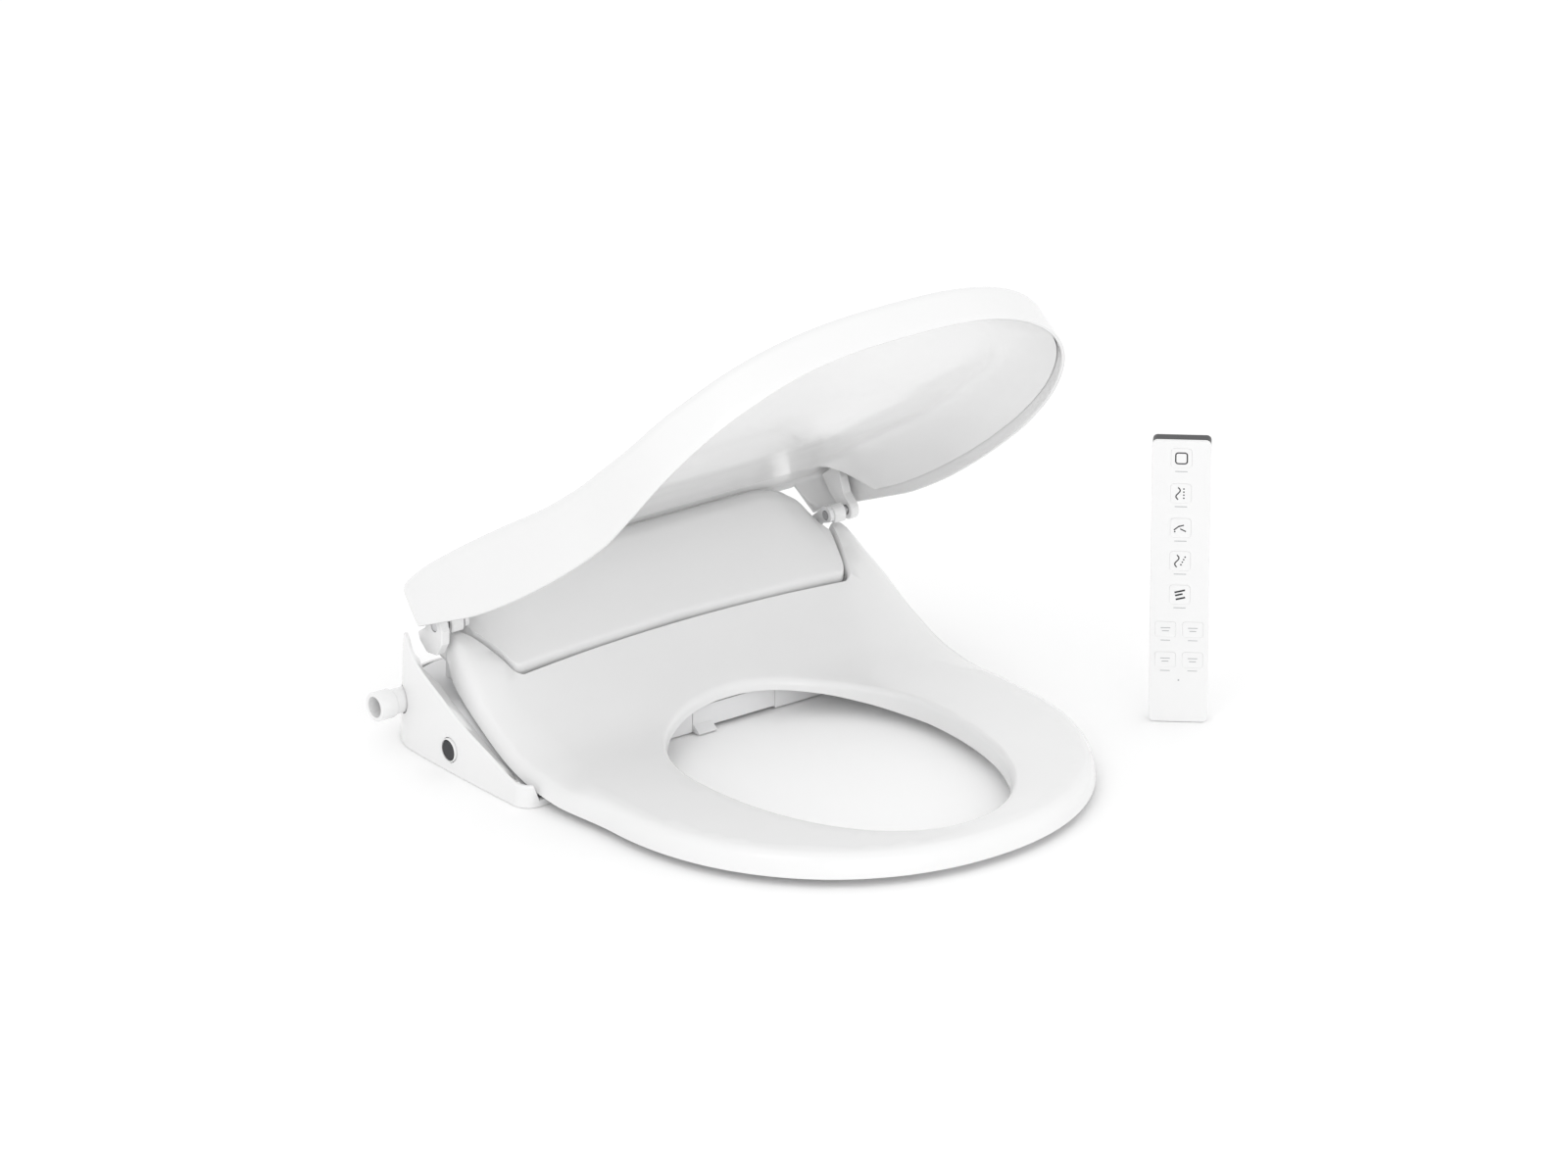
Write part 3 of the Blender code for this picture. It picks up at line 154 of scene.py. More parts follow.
def spread(tree, source, low, high):
    """A value that drifts between two limits."""
    made = node(tree, "ShaderNodeMapRange", To_Min=low, To_Max=high)
    tree.links.new(source.outputs["Fac"], made.inputs["Value"])
    return made


def finish(name, low, high, rough, grain, depth, coat=0.0, metallic=0.0, stretch=None):
    """A moulded or rolled surface: two close tones, drifting gloss and a fine grain."""
    material = bpy.data.materials.new(name)
    material.use_nodes = True
    tree = material.node_tree
    shader = tree.nodes["Principled BSDF"]
    shader.inputs["Metallic"].default_value = metallic
    shader.inputs["Coat Weight"].default_value = coat
    shader.inputs["Coat Roughness"].default_value = 0.08
    tone = ramp(tree, noise(tree, 9.0), low, high)
    tree.links.new(tone.outputs["Color"], shader.inputs["Base Color"])
    gloss = spread(tree, noise(tree, 26.0, 4.0), *rough)
    tree.links.new(gloss.outputs["Result"], shader.inputs["Roughness"])
    texture = noise(tree, grain, 3.0)
    if stretch:
        mapping = node(tree, "ShaderNodeMapping", Scale=stretch)
        where = texture.inputs["Vector"].links[0].from_socket
        tree.links.new(where, mapping.inputs["Vector"])
        tree.links.new(mapping.outputs["Vector"], texture.inputs["Vector"])
    bump = node(tree, "ShaderNodeBump", Strength=1.0, Distance=depth)
    tree.links.new(texture.outputs["Fac"], bump.inputs["Height"])
    tree.links.new(bump.outputs["Normal"], shader.inputs["Normal"])
    return material


MATERIALS = {
    "white_gloss": finish("white_gloss", (0.79, 0.79, 0.79), (0.82, 0.82, 0.82), (0.20, 0.27), 700,
                          4e-6, coat=0.25),
    "white_satin": finish("white_satin", (0.74, 0.74, 0.745), (0.78, 0.78, 0.785), (0.38, 0.48),
                          1600, 1.2e-5),
    "grey": finish("grey", (0.36, 0.37, 0.38), (0.42, 0.43, 0.44), (0.42, 0.55), 1500, 1.5e-5),
    "dark": finish("dark", (0.006, 0.006, 0.008), (0.013, 0.013, 0.018), (0.3, 0.42), 900, 4e-6),
    "rubber": finish("rubber", (0.55, 0.55, 0.54), (0.62, 0.62, 0.61), (0.62, 0.8), 1300, 3e-5),
    "steel": finish("steel", (0.55, 0.55, 0.56), (0.66, 0.66, 0.67), (0.24, 0.36), 900, 8e-6,
                    metallic=1.0, stretch=(1, 12, 1)),
    "copper": finish("copper", (0.66, 0.36, 0.2), (0.75, 0.44, 0.27), (0.3, 0.45), 1100, 1e-5,
                     metallic=1.0),
    "board": finish("board", (0.02, 0.16, 0.07), (0.03, 0.22, 0.1), (0.35, 0.5), 1800, 1.5e-5),
}


# ---------------------------------------------------------------- curves
def smooth(knots):
    """A smooth curve through knots that never overshoots them."""
    x, y = np.array(knots, float).T
    step = np.diff(x)
    slope = np.diff(y) / step
    tangent = np.zeros(len(x))
    tangent[0], tangent[-1] = slope[0], slope[-1]
    for i in range(1, len(x) - 1):
        if slope[i - 1] * slope[i] > 0:
            tangent[i] = 2 * slope[i - 1] * slope[i] / (slope[i - 1] + slope[i])

    def value(at):
        at = min(max(at, x[0]), x[-1])
        i = min(int(np.searchsorted(x, at, side="right")) - 1, len(step) - 1)
        h = step[i]
        t = (at - x[i]) / h
        return ((2 * t**3 - 3 * t**2 + 1) * y[i] + (t**3 - 2 * t**2 + t) * h * tangent[i]
                + (3 * t**2 - 2 * t**3) * y[i + 1] + (t**3 - t**2) * h * tangent[i + 1])
    return value


seat_top_z = smooth(SEAT_TOP)
seat_lower_z = smooth(SEAT_LOWER_EDGE)
base_edge_z = smooth(BASE_EDGE)
lid_top_z = smooth(LID_TOP)
lid_lower_z = smooth(LID_LOWER_EDGE)
panel_z = smooth(PANEL_PROFILE)
crease_inset = smooth([(-420, 9), (-220, 10), (-185, 15), (-145, 34), (-115, 36), (-90, 29),
                       (-54, 22), (-27, 13), (-13, 5), (-8, 2.8)])
flank_x = smooth(SEAT_FLANK)


def ease(t):
    t = min(max(t, 0.0), 1.0)
    return t * t * (3 - 2 * t)


def super_point(angle, half_width, length, power):
    """A point of a superellipse about the origin, at a parametric angle."""
    c, s = cos(angle), sin(angle)
    return (half_width * np.sign(c) * abs(c) ** (2 / power),
            length * np.sign(s) * abs(s) ** (2 / power))


def arc(centre, radius, start, end, steps):
    return [(centre[0] + radius * cos(radians(a)), centre[1] + radius * sin(radians(a)))
            for a in np.linspace(start, end, steps)]


def mirrored(right_side):
    """A closed outline from its right half, which runs from the front to the rear."""
    return right_side + [(-x, y) for x, y in reversed(right_side) if abs(x) > 1e-6]


def inset_loop(outline, inset):
    """A closed plan outline, running anticlockwise, moved inwards."""
    loop = np.array(outline, float)
    return loop + inward_of(loop) * inset


def inward_of(outline):
    """Inward directions along an anticlockwise loop."""
    loop = np.array([p[:2] for p in outline], float)
    ahead = np.roll(loop, -1, axis=0) - np.roll(loop, 1, axis=0)
    way = np.stack([-ahead[:, 1], ahead[:, 0]], axis=1)
    return way / np.linalg.norm(way, axis=1)[:, None]


# ---------------------------------------------------------------- mesh helpers
def piece(name, bm, slot, body, *nodes, angle=35.0):
    """Finishes a bmesh drawn in millimetres; it rides on a body and stands for CAD nodes."""
    bmesh.ops.scale(bm, vec=(MM, MM, MM), verts=bm.verts)
    bmesh.ops.recalc_face_normals(bm, faces=bm.faces)
    mesh = bpy.data.meshes.new(name)
    bm.to_mesh(mesh)
    bm.free()
    mesh.shade_smooth()
    mesh.set_sharp_from_angle(angle=radians(angle))
    mesh.materials.append(MATERIALS[slot])
    made = bpy.data.objects.new(name, mesh)
    bpy.context.scene.collection.objects.link(made)
    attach(made, body)
    if nodes:
        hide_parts(*nodes)
    return made


def strip(bm, one, other, closed=True):
    """Quads between two vertex rows of equal count."""
    for i in range(len(one) if closed else len(one) - 1):
        j = (i + 1) % len(one)
        bm.faces.new((one[i], one[j], other[j], other[i]))


def grid_of(bm, rings):
    return [[bm.verts.new(p) for p in ring] for ring in rings]


def bevel(made, width, segments=3):
    modifier = made.modifiers.new("edges", "BEVEL")
    modifier.width = width * MM
    modifier.segments = segments
    modifier.limit_method = "ANGLE"
    return made


def cut(made, cutter_meshes):
    """Takes closed shapes away from a piece, and applies the cuts."""
    for bm in cutter_meshes:
        bmesh.ops.scale(bm, vec=(MM, MM, MM), verts=bm.verts)
        bmesh.ops.recalc_face_normals(bm, faces=bm.faces)
        mesh = bpy.data.meshes.new("cutter")
        bm.to_mesh(mesh)
        bm.free()
        tool = bpy.data.objects.new("cutter", mesh)
        bpy.context.scene.collection.objects.link(tool)
        modifier = made.modifiers.new("cut", "BOOLEAN")
        modifier.object = tool
        bpy.context.view_layer.update()
        graph = bpy.context.evaluated_depsgraph_get()
        cleaned = bpy.data.meshes.new_from_object(made.evaluated_get(graph))
        made.modifiers.clear()
        made.data = cleaned
        bpy.data.objects.remove(tool)
    made.data.shade_smooth()
    made.data.set_sharp_from_angle(angle=radians(35))
    return made


def block(centre, size):
    bm = bmesh.new()
    bmesh.ops.create_cube(bm, size=1.0)
    bmesh.ops.scale(bm, vec=size, verts=bm.verts)
    bmesh.ops.translate(bm, vec=centre, verts=bm.verts)
    return bm


def drum(start, end, radius, sides=96):
    start, end = Vector(start), Vector(end)
    axis = end - start
    bm = bmesh.new()
    bmesh.ops.create_cone(bm, cap_ends=True, segments=sides, radius1=radius, radius2=radius,
                          depth=axis.length)
    turn = Vector((0, 0, 1)).rotation_difference(axis).to_matrix().to_4x4()
    bm.transform(Matrix.Translation((start + end) / 2) @ turn)
    return bm


def turned(profile, start, direction, sides=96):
    """A ring-shaped solid from a closed (radius, distance) profile."""
    turn = Vector((0, 0, 1)).rotation_difference(Vector(direction)).to_matrix()
    bm = bmesh.new()
    rings = []
    for k in range(sides):
        a = 2 * pi * k / sides
        rings.append([bm.verts.new(Vector(start) + turn @ Vector((r * cos(a), r * sin(a), h)))
                      for r, h in profile])
    for one, other in zip(rings, rings[1:] + rings[:1]):
        strip(bm, one, other)
    return bm


# ---------------------------------------------------------------- seat
def notch_edge_y(x):
    """Front edge of the panel; the seat stops 2 mm ahead of it."""
    return -46.0 - 4.0 * (x / 140.0) ** 2


def seat_outline():
    """The seat in plan as a loop of (x, y, crease inset, lower edge height)."""
    half = []
    for a in np.linspace(-90, 0, 12 * FINE + 1)[:-1]:
        x, y = super_point(radians(a), RING_HALF_WIDTH, RING_WIDEST - RING_FRONT, 2.1)
        half.append((x, RING_WIDEST + y, crease_inset(RING_WIDEST + y), RING_UNDERSIDE))
    for y in np.linspace(RING_WIDEST, HORN_TIP[1], 12 * FINE + 1)[:-1]:
        half.append((flank_x(y), y, crease_inset(y), seat_lower_z(y)))
    for t in np.linspace(0, 1, 4 * FINE + 1)[:-1]:
        half.append((HORN_TIP[0] + HORN_RADIUS * cos(pi * t), HORN_TIP[1] + 6.0 * sin(pi * t),
                     2.8, HORN_UNDERSIDE))
    corner = arc(NOTCH_CORNER, NOTCH_RADIUS, -12, -84, 4 * FINE)
    start = np.array([HORN_TIP[0] - HORN_RADIUS, HORN_TIP[1]])
    steps = np.linspace(0, 1, 3 * FINE + 1)[:-1]
    edge = [tuple(start + (np.array(corner[0]) - start) * t) for t in steps]
    edge += corner + [(x, notch_edge_y(x) - 2.0) for x in np.linspace(136, 0, 6 * FINE)]
    half += [(x, y, 3.0, min(HORN_UNDERSIDE, seat_top_z(y) - NOTCH_DEPTH)) for x, y in edge]
    return half + [(-x, y, inset, low) for x, y, inset, low in reversed(half[1:-1])]


def hole_outline():
    points = []
    for a in np.linspace(-90, 270, 44 * FINE, endpoint=False):
        rise = HOLE_REAR - HOLE_CENTRE if sin(radians(a)) > 0 else HOLE_CENTRE - HOLE_FRONT
        x, y = super_point(radians(a), HOLE_HALF_WIDTH, rise, 2.1)
        points.append((x, HOLE_CENTRE + y))
    return points


def rim_height(y):
    """Depth of the hole's wall: thinner towards the rear."""
    return 16.0 - 8.0 * ease((y + 190.0) / 85.0)


def inside(points, loop):
    """Which points lie inside a closed loop."""
    points, loop = np.asarray(points, float), np.asarray(loop, float)
    found = np.zeros(len(points), bool)
    for (x0, y0), (x1, y1) in zip(loop, np.roll(loop, -1, axis=0)):
        crosses = (y0 > points[:, 1]) != (y1 > points[:, 1])
        with np.errstate(divide="ignore", invalid="ignore"):
            at = x0 + (points[:, 1] - y0) * (x1 - x0) / (y1 - y0)
        found ^= crosses & (points[:, 0] < at)
    return found


def sheet(bm, outer_loops, hole_loops, height, spacing):
    """A triangulated sheet between an outline and a hole, through nested loops of (x, y, z).

    Returns the vertices of the outermost and of the hole's innermost loop."""
    loops = outer_loops + hole_loops
    flat = [np.array([p[:2] for p in loop]) for loop in loops]
    grid = [(x, y) for x in np.arange(-190, 191, spacing) for y in np.arange(-418, 0, spacing)]
    grid = np.array(grid)[inside(grid, flat[len(outer_loops) - 1])]
    grid = grid[~inside(grid, flat[-1])]
    clear = [p for p in grid
             if all(np.linalg.norm(loop - p, axis=1).min() > 0.55 * spacing for loop in flat)]
    points, edges = [], []
    for loop in flat:
        first = len(points)
        points += [tuple(p) for p in loop]
        edges += [(first + i, first + (i + 1) % len(loop)) for i in range(len(loop))]
    heights = [p[2] for loop in loops for p in loop] + [height(*p) for p in clear]
    points += [tuple(p) for p in clear]
    found, _, faces, _, _, _ = delaunay_2d_cdt([Vector(p) for p in points], edges, [], 0, 1e-4)
    middle = [sum((found[i] for i in face), Vector((0, 0))) / len(face) for face in faces]
    keep = inside(middle, flat[0]) & ~inside(middle, flat[len(outer_loops)])
    verts = [bm.verts.new((*p, z)) for p, z in zip(points, heights)]
    for face, kept in zip(faces, keep):
        if kept:
            bm.faces.new([verts[i] for i in face])
    start = sum(len(loop) for loop in outer_loops)
    return verts[:len(outer_loops[0])], verts[start:start + len(hole_loops[0])]


def roof_z(x, y):
    """Underside of the seat's skin."""
    slope = (seat_top_z(y + 1) - seat_top_z(y - 1)) / 2
    return seat_top_z(y) - SHELL * sqrt(1 + slope * slope)


def build_seat():
    """The seat's upper shell: rolled rim, soft crease and rounded hole edge."""
    outline, hole = seat_outline(), hole_outline()
    shares = (0.0, 0.05, 0.15, 0.3, 0.5, 0.75, 1.0)
    skin = [[] for _ in shares]
    lining = [[], [], []]
    for (x, y, inset, low), way in zip(outline, inward_of(outline)):
        drop = seat_top_z(y + way[1] * inset) - low
        slant = min(max((inset - 9.0) / 12.0, 0), 1)
        fall = smooth([(0, 1), (0.15, 0.5 - 0.12 * slant), (0.5, 0.14 + 0.02 * slant), (1, 0)])
        for loop, share in zip(skin, shares):
            loop.append((x + way[0] * inset * share, y + way[1] * inset * share,
                         low + drop * (1 - fall(share))))
        under = low + drop * (1 - fall(0.5)) - 3.0
        for loop, (d, z) in zip(lining, ((SHELL * 1.15, low), (inset * 0.5 + 2.4, under),
                                         (inset + 1.5, None))):
            px, py = x + way[0] * d, y + way[1] * d
            loop.append((px, py, roof_z(px, py) if z is None else min(z, roof_z(px, py))))
    rounding = [(4.5 * (1 - sin(radians(a))), 5.0 * (1 - cos(radians(a)))) for a in range(90, -1, -15)]
    rims = [[] for _ in rounding]
    linings = [[], []]
    for (x, y), way in zip(hole, -inward_of(hole)):
        for loop, (d, below) in zip(rims, rounding):
            py = y + way[1] * d
            loop.append((x + way[0] * d, py, seat_top_z(py) - below))
        linings[0].append((x + way[0] * SHELL, y + way[1] * SHELL, seat_top_z(y) - rim_height(y)))
        px, py = x + way[0] * (SHELL + 0.6), y + way[1] * (SHELL + 0.6)
        linings[1].append((px, py, roof_z(px, py) - 1.2))
    bm = bmesh.new()
    edge, rim = sheet(bm, skin, rims, lambda x, y: seat_top_z(y), 9.0)
    inner_edge, inner_rim = sheet(bm, lining, linings, roof_z, 22.0)
    strip(bm, edge, inner_edge)
    foot = [bm.verts.new((v.co.x, v.co.y, seat_top_z(y) - rim_height(y)))
            for v, (_, y) in zip(rim, hole)]
    strip(bm, rim, foot)
    strip(bm, foot, inner_rim)
    return piece("seat_ring", bm, "white_gloss", "seat", "seat_top", angle=50)


# ---------------------------------------------------------------- lid
def lid_outline(inset=0.0):
    """The closed lid's edge in plan."""
    half = []
    for a in np.linspace(-90, 0, 12 * FINE + 1)[:-1]:
        x, y = super_point(radians(a), LID_HALF_WIDTH_FRONT, LID_WIDEST_FRONT - LID_FRONT, 2.6)
        half.append((x, LID_WIDEST_FRONT + y))
    for t in np.linspace(0, 1, 9 * FINE + 1)[:-1]:
        y = LID_WIDEST_FRONT + (LID_REAR - LID_CORNER - LID_WIDEST_FRONT) * t
        x = LID_HALF_WIDTH_FRONT + (LID_HALF_WIDTH_REAR - LID_HALF_WIDTH_FRONT) * ease(t / 0.85)
        half.append((x, y))
    half += arc((LID_HALF_WIDTH_REAR - LID_CORNER, LID_REAR - LID_CORNER), LID_CORNER, 0, 90,
                6 * FINE)
    half += [(x, LID_REAR) for x in [172, 168] + list(np.linspace(164, 0, 4 * FINE))]
    return inset_loop(mirrored(half), inset)


def lid_low(x, y):
    """Height of the lower edge: the side skirt ends at the rear corner, the tail is open."""
    tail = min(max((LID_TAIL_HALF_WIDTH + 4.0 - abs(x)) / 4.0, 0), 1)
    return lid_lower_z(y) if y < 0 or tail == 0 else lid_lower_z(y) * (1 - tail) + LID_TAIL_LOW * tail


def lid_shoulder(x, y):
    return min(9.0, 0.7 * (lid_top_z(y) - lid_low(x, y)))


def lid_rings():
    rings = []
    for inset, share in ((0.3, 0.0), (0.0, 0.04), (0.3, 0.25), (0.8, 0.5), (1.4, 0.75), (2.0, 1.0)):
        ring = []
        for x, y in lid_outline(inset):
            low = lid_low(x, y)
            ring.append((x, y, low + (lid_top_z(y) - lid_shoulder(x, y) - low) * share))
        rings.append(ring)
    for a in (15, 30, 45, 60, 75, 90):
        inset = 2.0 + 6.5 * (1 - cos(radians(a)))
        rings.append([(x, y, lid_top_z(y) - lid_shoulder(x, y) * (1 - sin(radians(a))))
                      for x, y in lid_outline(inset)])
    edge = lid_outline(8.5)
    for share in np.linspace(0.97, 0.04, 18):
        ring = []
        for x, y in edge:
            px, py = x * share, LID_MIDDLE + (y - LID_MIDDLE) * share
            ring.append((px, py, lid_top_z(py) + LID_CROWN * (1 - share * share)))
        rings.append(ring)
    return rings


def liner_rings():
    """The hollow underside of the lid: rings from its edge to the middle."""
    edge = lid_outline()
    edge = edge[edge[:, 1] < LINER_REAR]
    start = lid_outline(3.6)
    rings = []
    for share in (1 - np.linspace(0, 1, 24) ** 1.4 * 0.96):
        ring = []
        for x, y in start:
            px, py = x * share, LID_MIDDLE + (min(y, LINER_REAR) - LID_MIDDLE) * share
            t = min(np.linalg.norm(edge - (px, py), axis=1).min() / LINER_HOLLOW, 1.0)
            low, roof = lid_lower_z(py) + 1.5, lid_top_z(py) - 7.0
            ring.append((px, py, low + (roof - low) * (1 - (1 - t) ** 2.2)))
        rings.append(ring)
    return rings


def open_lid(bm):
    """Turns what was drawn closed to the lid's half-open rest."""
    hinge = Matrix.Translation((0, HINGE_Y, HINGE_Z))
    bm.transform(hinge @ Matrix.Rotation(radians(-LID_REST_OPENING), 4, "X") @ hinge.inverted())


def build_lid():
    bm = bmesh.new()
    grid = grid_of(bm, lid_rings())
    for one, other in zip(grid, grid[1:]):
        strip(bm, one, other)
    bm.faces.new(grid[-1])
    open_lid(bm)
    shell = piece("lid_outside", bm, "white_gloss", "lid", "lid_shell", angle=40)
    wall = shell.modifiers.new("wall", "SOLIDIFY")
    wall.thickness = SHELL * MM
    wall.offset = -1.0
    bm = bmesh.new()
    lower = grid_of(bm, liner_rings())
    upper = grid_of(bm, [[(x, y, z + 2.0) for x, y, z in ring] for ring in liner_rings()])
    loops = lower[::-1] + upper
    for one, other in zip(loops, loops[1:]):
        strip(bm, one, other)
    bm.faces.new(lower[-1])
    bm.faces.new(upper[-1])
    open_lid(bm)
    piece("lid_inside", bm, "white_gloss", "lid", "lid_liner", angle=50)


# ---------------------------------------------------------------- base
def base_width(x):
    return BASE_HALF_WIDTH if x < 0 else BASE_RIGHT_WIDTH


def base_side(w):
    """One side of the housing in plan, from the middle of its front to the middle of its rear."""
    f, r = BASE_FRONT_CORNER, BASE_REAR
    half = [(x, FRONT_WALL_Y) for x in np.linspace(0, 116, 4 * FINE)]
    notch = smooth([(116, FRONT_WALL_Y), (124, -101), (132, -111), (138, -125), (145, -136),
                    (154, f)])
    half += [(x, notch(x)) for x in np.linspace(119, 154, 5 * FINE)]
    half += [(x, f) for x in np.linspace(158, w - 14, 3 * FINE)]
    half += arc((w - 13, f + 13), 13, -75, 0, 5 * FINE)
    half += [(w + 1.0 - ((y + 60) / 60) ** 2, y) for y in np.linspace(-122, -14, 8 * FINE)]
    half += arc((w - BASE_CORNER, r - BASE_CORNER), BASE_CORNER, 0, 90, 9 * FINE)
    return half + [(x, r) for x in np.linspace(130, 0, 4 * FINE)]


def base_outline(inset=0.0):
    """The housing in plan: a closed loop that is wider on the left."""
    left = [(-x, y) for x, y in reversed(base_side(BASE_HALF_WIDTH)) if x > 0]
    return inset_loop(base_side(BASE_RIGHT_WIDTH) + left, inset)


def base_edge(x, y):
    """Height of the casing's top edge and how far its flange reaches in, at an outline point."""
    w = base_width(x)
    if y < -96 and abs(x) < w - 13.5:
        return (17.0 if abs(x) < 118 else 4.6), 5.0
    if x > 0:
        side = min(seat_lower_z(y) - 4.0, BASE_RIGHT_TOP)
        if y > 10:
            side = DECK_CAP + (side - DECK_CAP) * min(max((abs(x) - w + 37) / 30, 0), 1)
        return max(side, 3.8), 5.6
    if y > 10 and abs(x) < SHOULDER_END:
        return 87.0 + (DECK_CAP - 87.0) * min((SHOULDER_END - abs(x)) / 14, 1), 5.6
    inner = FLANGE if y < -12 else FLANGE - (FLANGE - 5.6) * min((y + 12) / 14, 1)
    return base_edge_z(y), min(inner, 4.5 + max(y + 130, 0) / 2)


def case_section(x, y, way):
    """The casing's wall and flange at one outline point."""
    top, reach = base_edge(x, y)
    lean = min(2.5, 0.06 * top)
    soft = min(2.0, 0.3 * top)
    flange = min(top - 0.3, max(seat_lower_z(y) - 3.4, 3.8)) if reach > 8 else top - 0.3
    skin = [(0.0, 0.0), (lean, top - soft)]
    skin += [(lean + 0.6 * soft * (1 - cos(radians(a))), top - soft * (1 - sin(radians(a))))
             for a in (20, 40, 60, 80)]
    skin += [(lean + 0.8 * soft, top), (reach, flange)]
    lining = [(SHELL, 0.0), (lean + SHELL, top - soft - 1.2),
              (lean + 0.6 * soft + SHELL, top - SHELL), (reach, flange - SHELL)]
    if top < 6:
        lining = [(SHELL, 0.0), (SHELL, 1.2), (SHELL + 0.6, 1.6), (reach, 1.8)]
    return [(x + way[0] * d, y + way[1] * d, z) for d, z in skin + lining[::-1]]


def build_casing():
    outline = base_outline()
    bm = bmesh.new()
    rings = grid_of(bm, [case_section(x, y, way) for (x, y), way in zip(outline, inward_of(outline))])
    for one, other in zip(rings, rings[1:] + rings[:1]):
        strip(bm, one, other)
    casing = piece("housing_wall", bm, "white_gloss", "base", "lower_case")
    w = BASE_HALF_WIDTH
    x, z = GLAND_AT
    cut(casing, [drum((-w - 5, *INLET_AXIS), (-w + 18, *INLET_AXIS), 10.4),
                 drum((-w - 6, *BUTTON_AT), (-w + 11, *BUTTON_AT), 9.5),
                 block((NOZZLE_X, FRONT_WALL_Y + 1, 6), (79, 14, 40)),
                 block((FILTER_AT[0], BASE_REAR, FILTER_AT[1]), (44.8, 16, 26.8)),
                 drum((x, BASE_REAR - 8, z), (x, BASE_REAR + 8, z), 6.5, 48)])


def cover_rows():
    """Side-view rows of the cover, each from its front foot over the ridge to its rear foot."""
    ridge = smooth([(0, 120), (112, 120), (128, 117), (142, 110.5), (152, 104), (158, 98),
                    (162.5, 91), (COVER_HALF_WIDTH, 60)])
    start = smooth([(0, -46), (136, -49.7), (145, -50.2), (149, -49.2), (151.5, -46.5),
                    (155, -36.6), (160, -22.7), (COVER_HALF_WIDTH, -10.8)])
    right = list(np.linspace(12, 108, 9)) + list(np.linspace(112, 162, 51))
    right += [162.6, 163.0, 163.4, 163.7, 164.0, COVER_HALF_WIDTH]
    rows = []
    for x in [-s for s in reversed(right)] + [0] + right:
        y0, high = start(abs(x)), ridge(abs(x))
        z0 = min(seat_top_z(y0) + 1.5, high)
        row = [(x, y0 + 1.5, COVER_FOOT), (x, y0, z0 - 3), (x, y0 + 0.1, z0 - 1.2),
               (x, y0 + 0.5, z0)]
        for y in np.linspace(-44, 19, 28):
            row.append((x, y0 + (y + 46) * (19 - y0) / 65,
                        z0 + (panel_z(y) - 70) / 50 * (high - z0)))
        lowered = min(1.0, (high - COVER_FOOT) / (112 - COVER_FOOT))
        for a in np.linspace(34, -50, 14):
            z = COVER_FOOT + (HINGE_Z + 33.5 * sin(radians(a)) - COVER_FOOT) * lowered
            row.append((x, HINGE_Y + 33.5 * cos(radians(a)), min(z, high)))
        row.append((x, COVER_REAR, COVER_FOOT))
        rows.append(row)
    return rows


def build_cover():
    rows = cover_rows()
    bm = bmesh.new()
    grid = grid_of(bm, rows)
    for one, other in zip(grid, grid[1:]):
        strip(bm, one, other, closed=False)
    bm.faces.new(grid[0])
    bm.faces.new(grid[-1])
    cover = piece("ridge_cover", bm, "white_gloss", "base", "top_cover", angle=30)
    wall = cover.modifiers.new("wall", "SOLIDIFY")
    wall.thickness = 2.0 * MM
    wall.offset = -1.0


def build_fittings():
    """The inlet pipe, and the side button in its ring."""
    w = BASE_HALF_WIDTH
    y, z = INLET_AXIS
    pipe = [(6.6, 0), (6.6, 33), (9.4, 33), (9.4, 46), (10.0, 46.4), (10.6, 46.9), (10.9, 47.6),
            (10.9, 60.0), (10.7, 60.7), (10.1, 61), (8.3, 61), (7.9, 60.8), (7.8, 60.2), (7.8, 36),
            (5.0, 36), (5.0, 0)]
    piece("inlet_pipe", turned(pipe, (-w + 41, y, z), (-1, 0, 0)), "white_gloss", "base",
          "water_inlet")
    y, z = BUTTON_AT
    ring = [(9.0, -9.5), (9.0, 1.0), (8.9, 1.4), (8.6, 1.6), (8.2, 1.6), (7.95, 1.3), (7.9, -9.5)]
    piece("button_ring", turned(ring, (-w, y, z), (-1, 0, 0)), "white_gloss", "base", "button_bezel")
    bevel(piece("power_button", drum((-w + 9, y, z), (-w - 1.2, y, z), 7.5), "dark", "button",
                "side_button"), 0.7)


# ---------------------------------------------------------------- remote control
def on_remote():
    return (Matrix.Translation(Vector((*REMOTE_BASE, 0)))
            @ Matrix.Rotation(radians(REMOTE_YAW), 4, "Z"))


def rounded(centre, size, radius, steps=8):
    w, h = size[0] / 2 - radius, size[1] / 2 - radius
    points = []
    for sx, sz, start in ((1, 1, 0), (-1, 1, 90), (-1, -1, 180), (1, -1, 270)):
        points += arc((centre[0] + sx * w, centre[1] + sz * h), radius, start, start + 90, steps)
    return points


def slab(outline, near, far):
    """A flat piece of the remote: its outline in x and z, its thickness along y."""
    bm = bmesh.new()
    front = [bm.verts.new((x, near, z)) for x, z in outline]
    back = [bm.verts.new((x, far, z)) for x, z in outline]
    strip(bm, front, back)
    bm.faces.new(front)
    bm.faces.new(back)
    bm.transform(on_remote())
    return bm


def key_outline(at, size, corner, grow=0.0):
    """A key's outline on the remote's face, or its hole's when grown by the joint."""
    return rounded(at, (size[0] + 2 * grow, size[1] + 2 * grow), corner + grow)


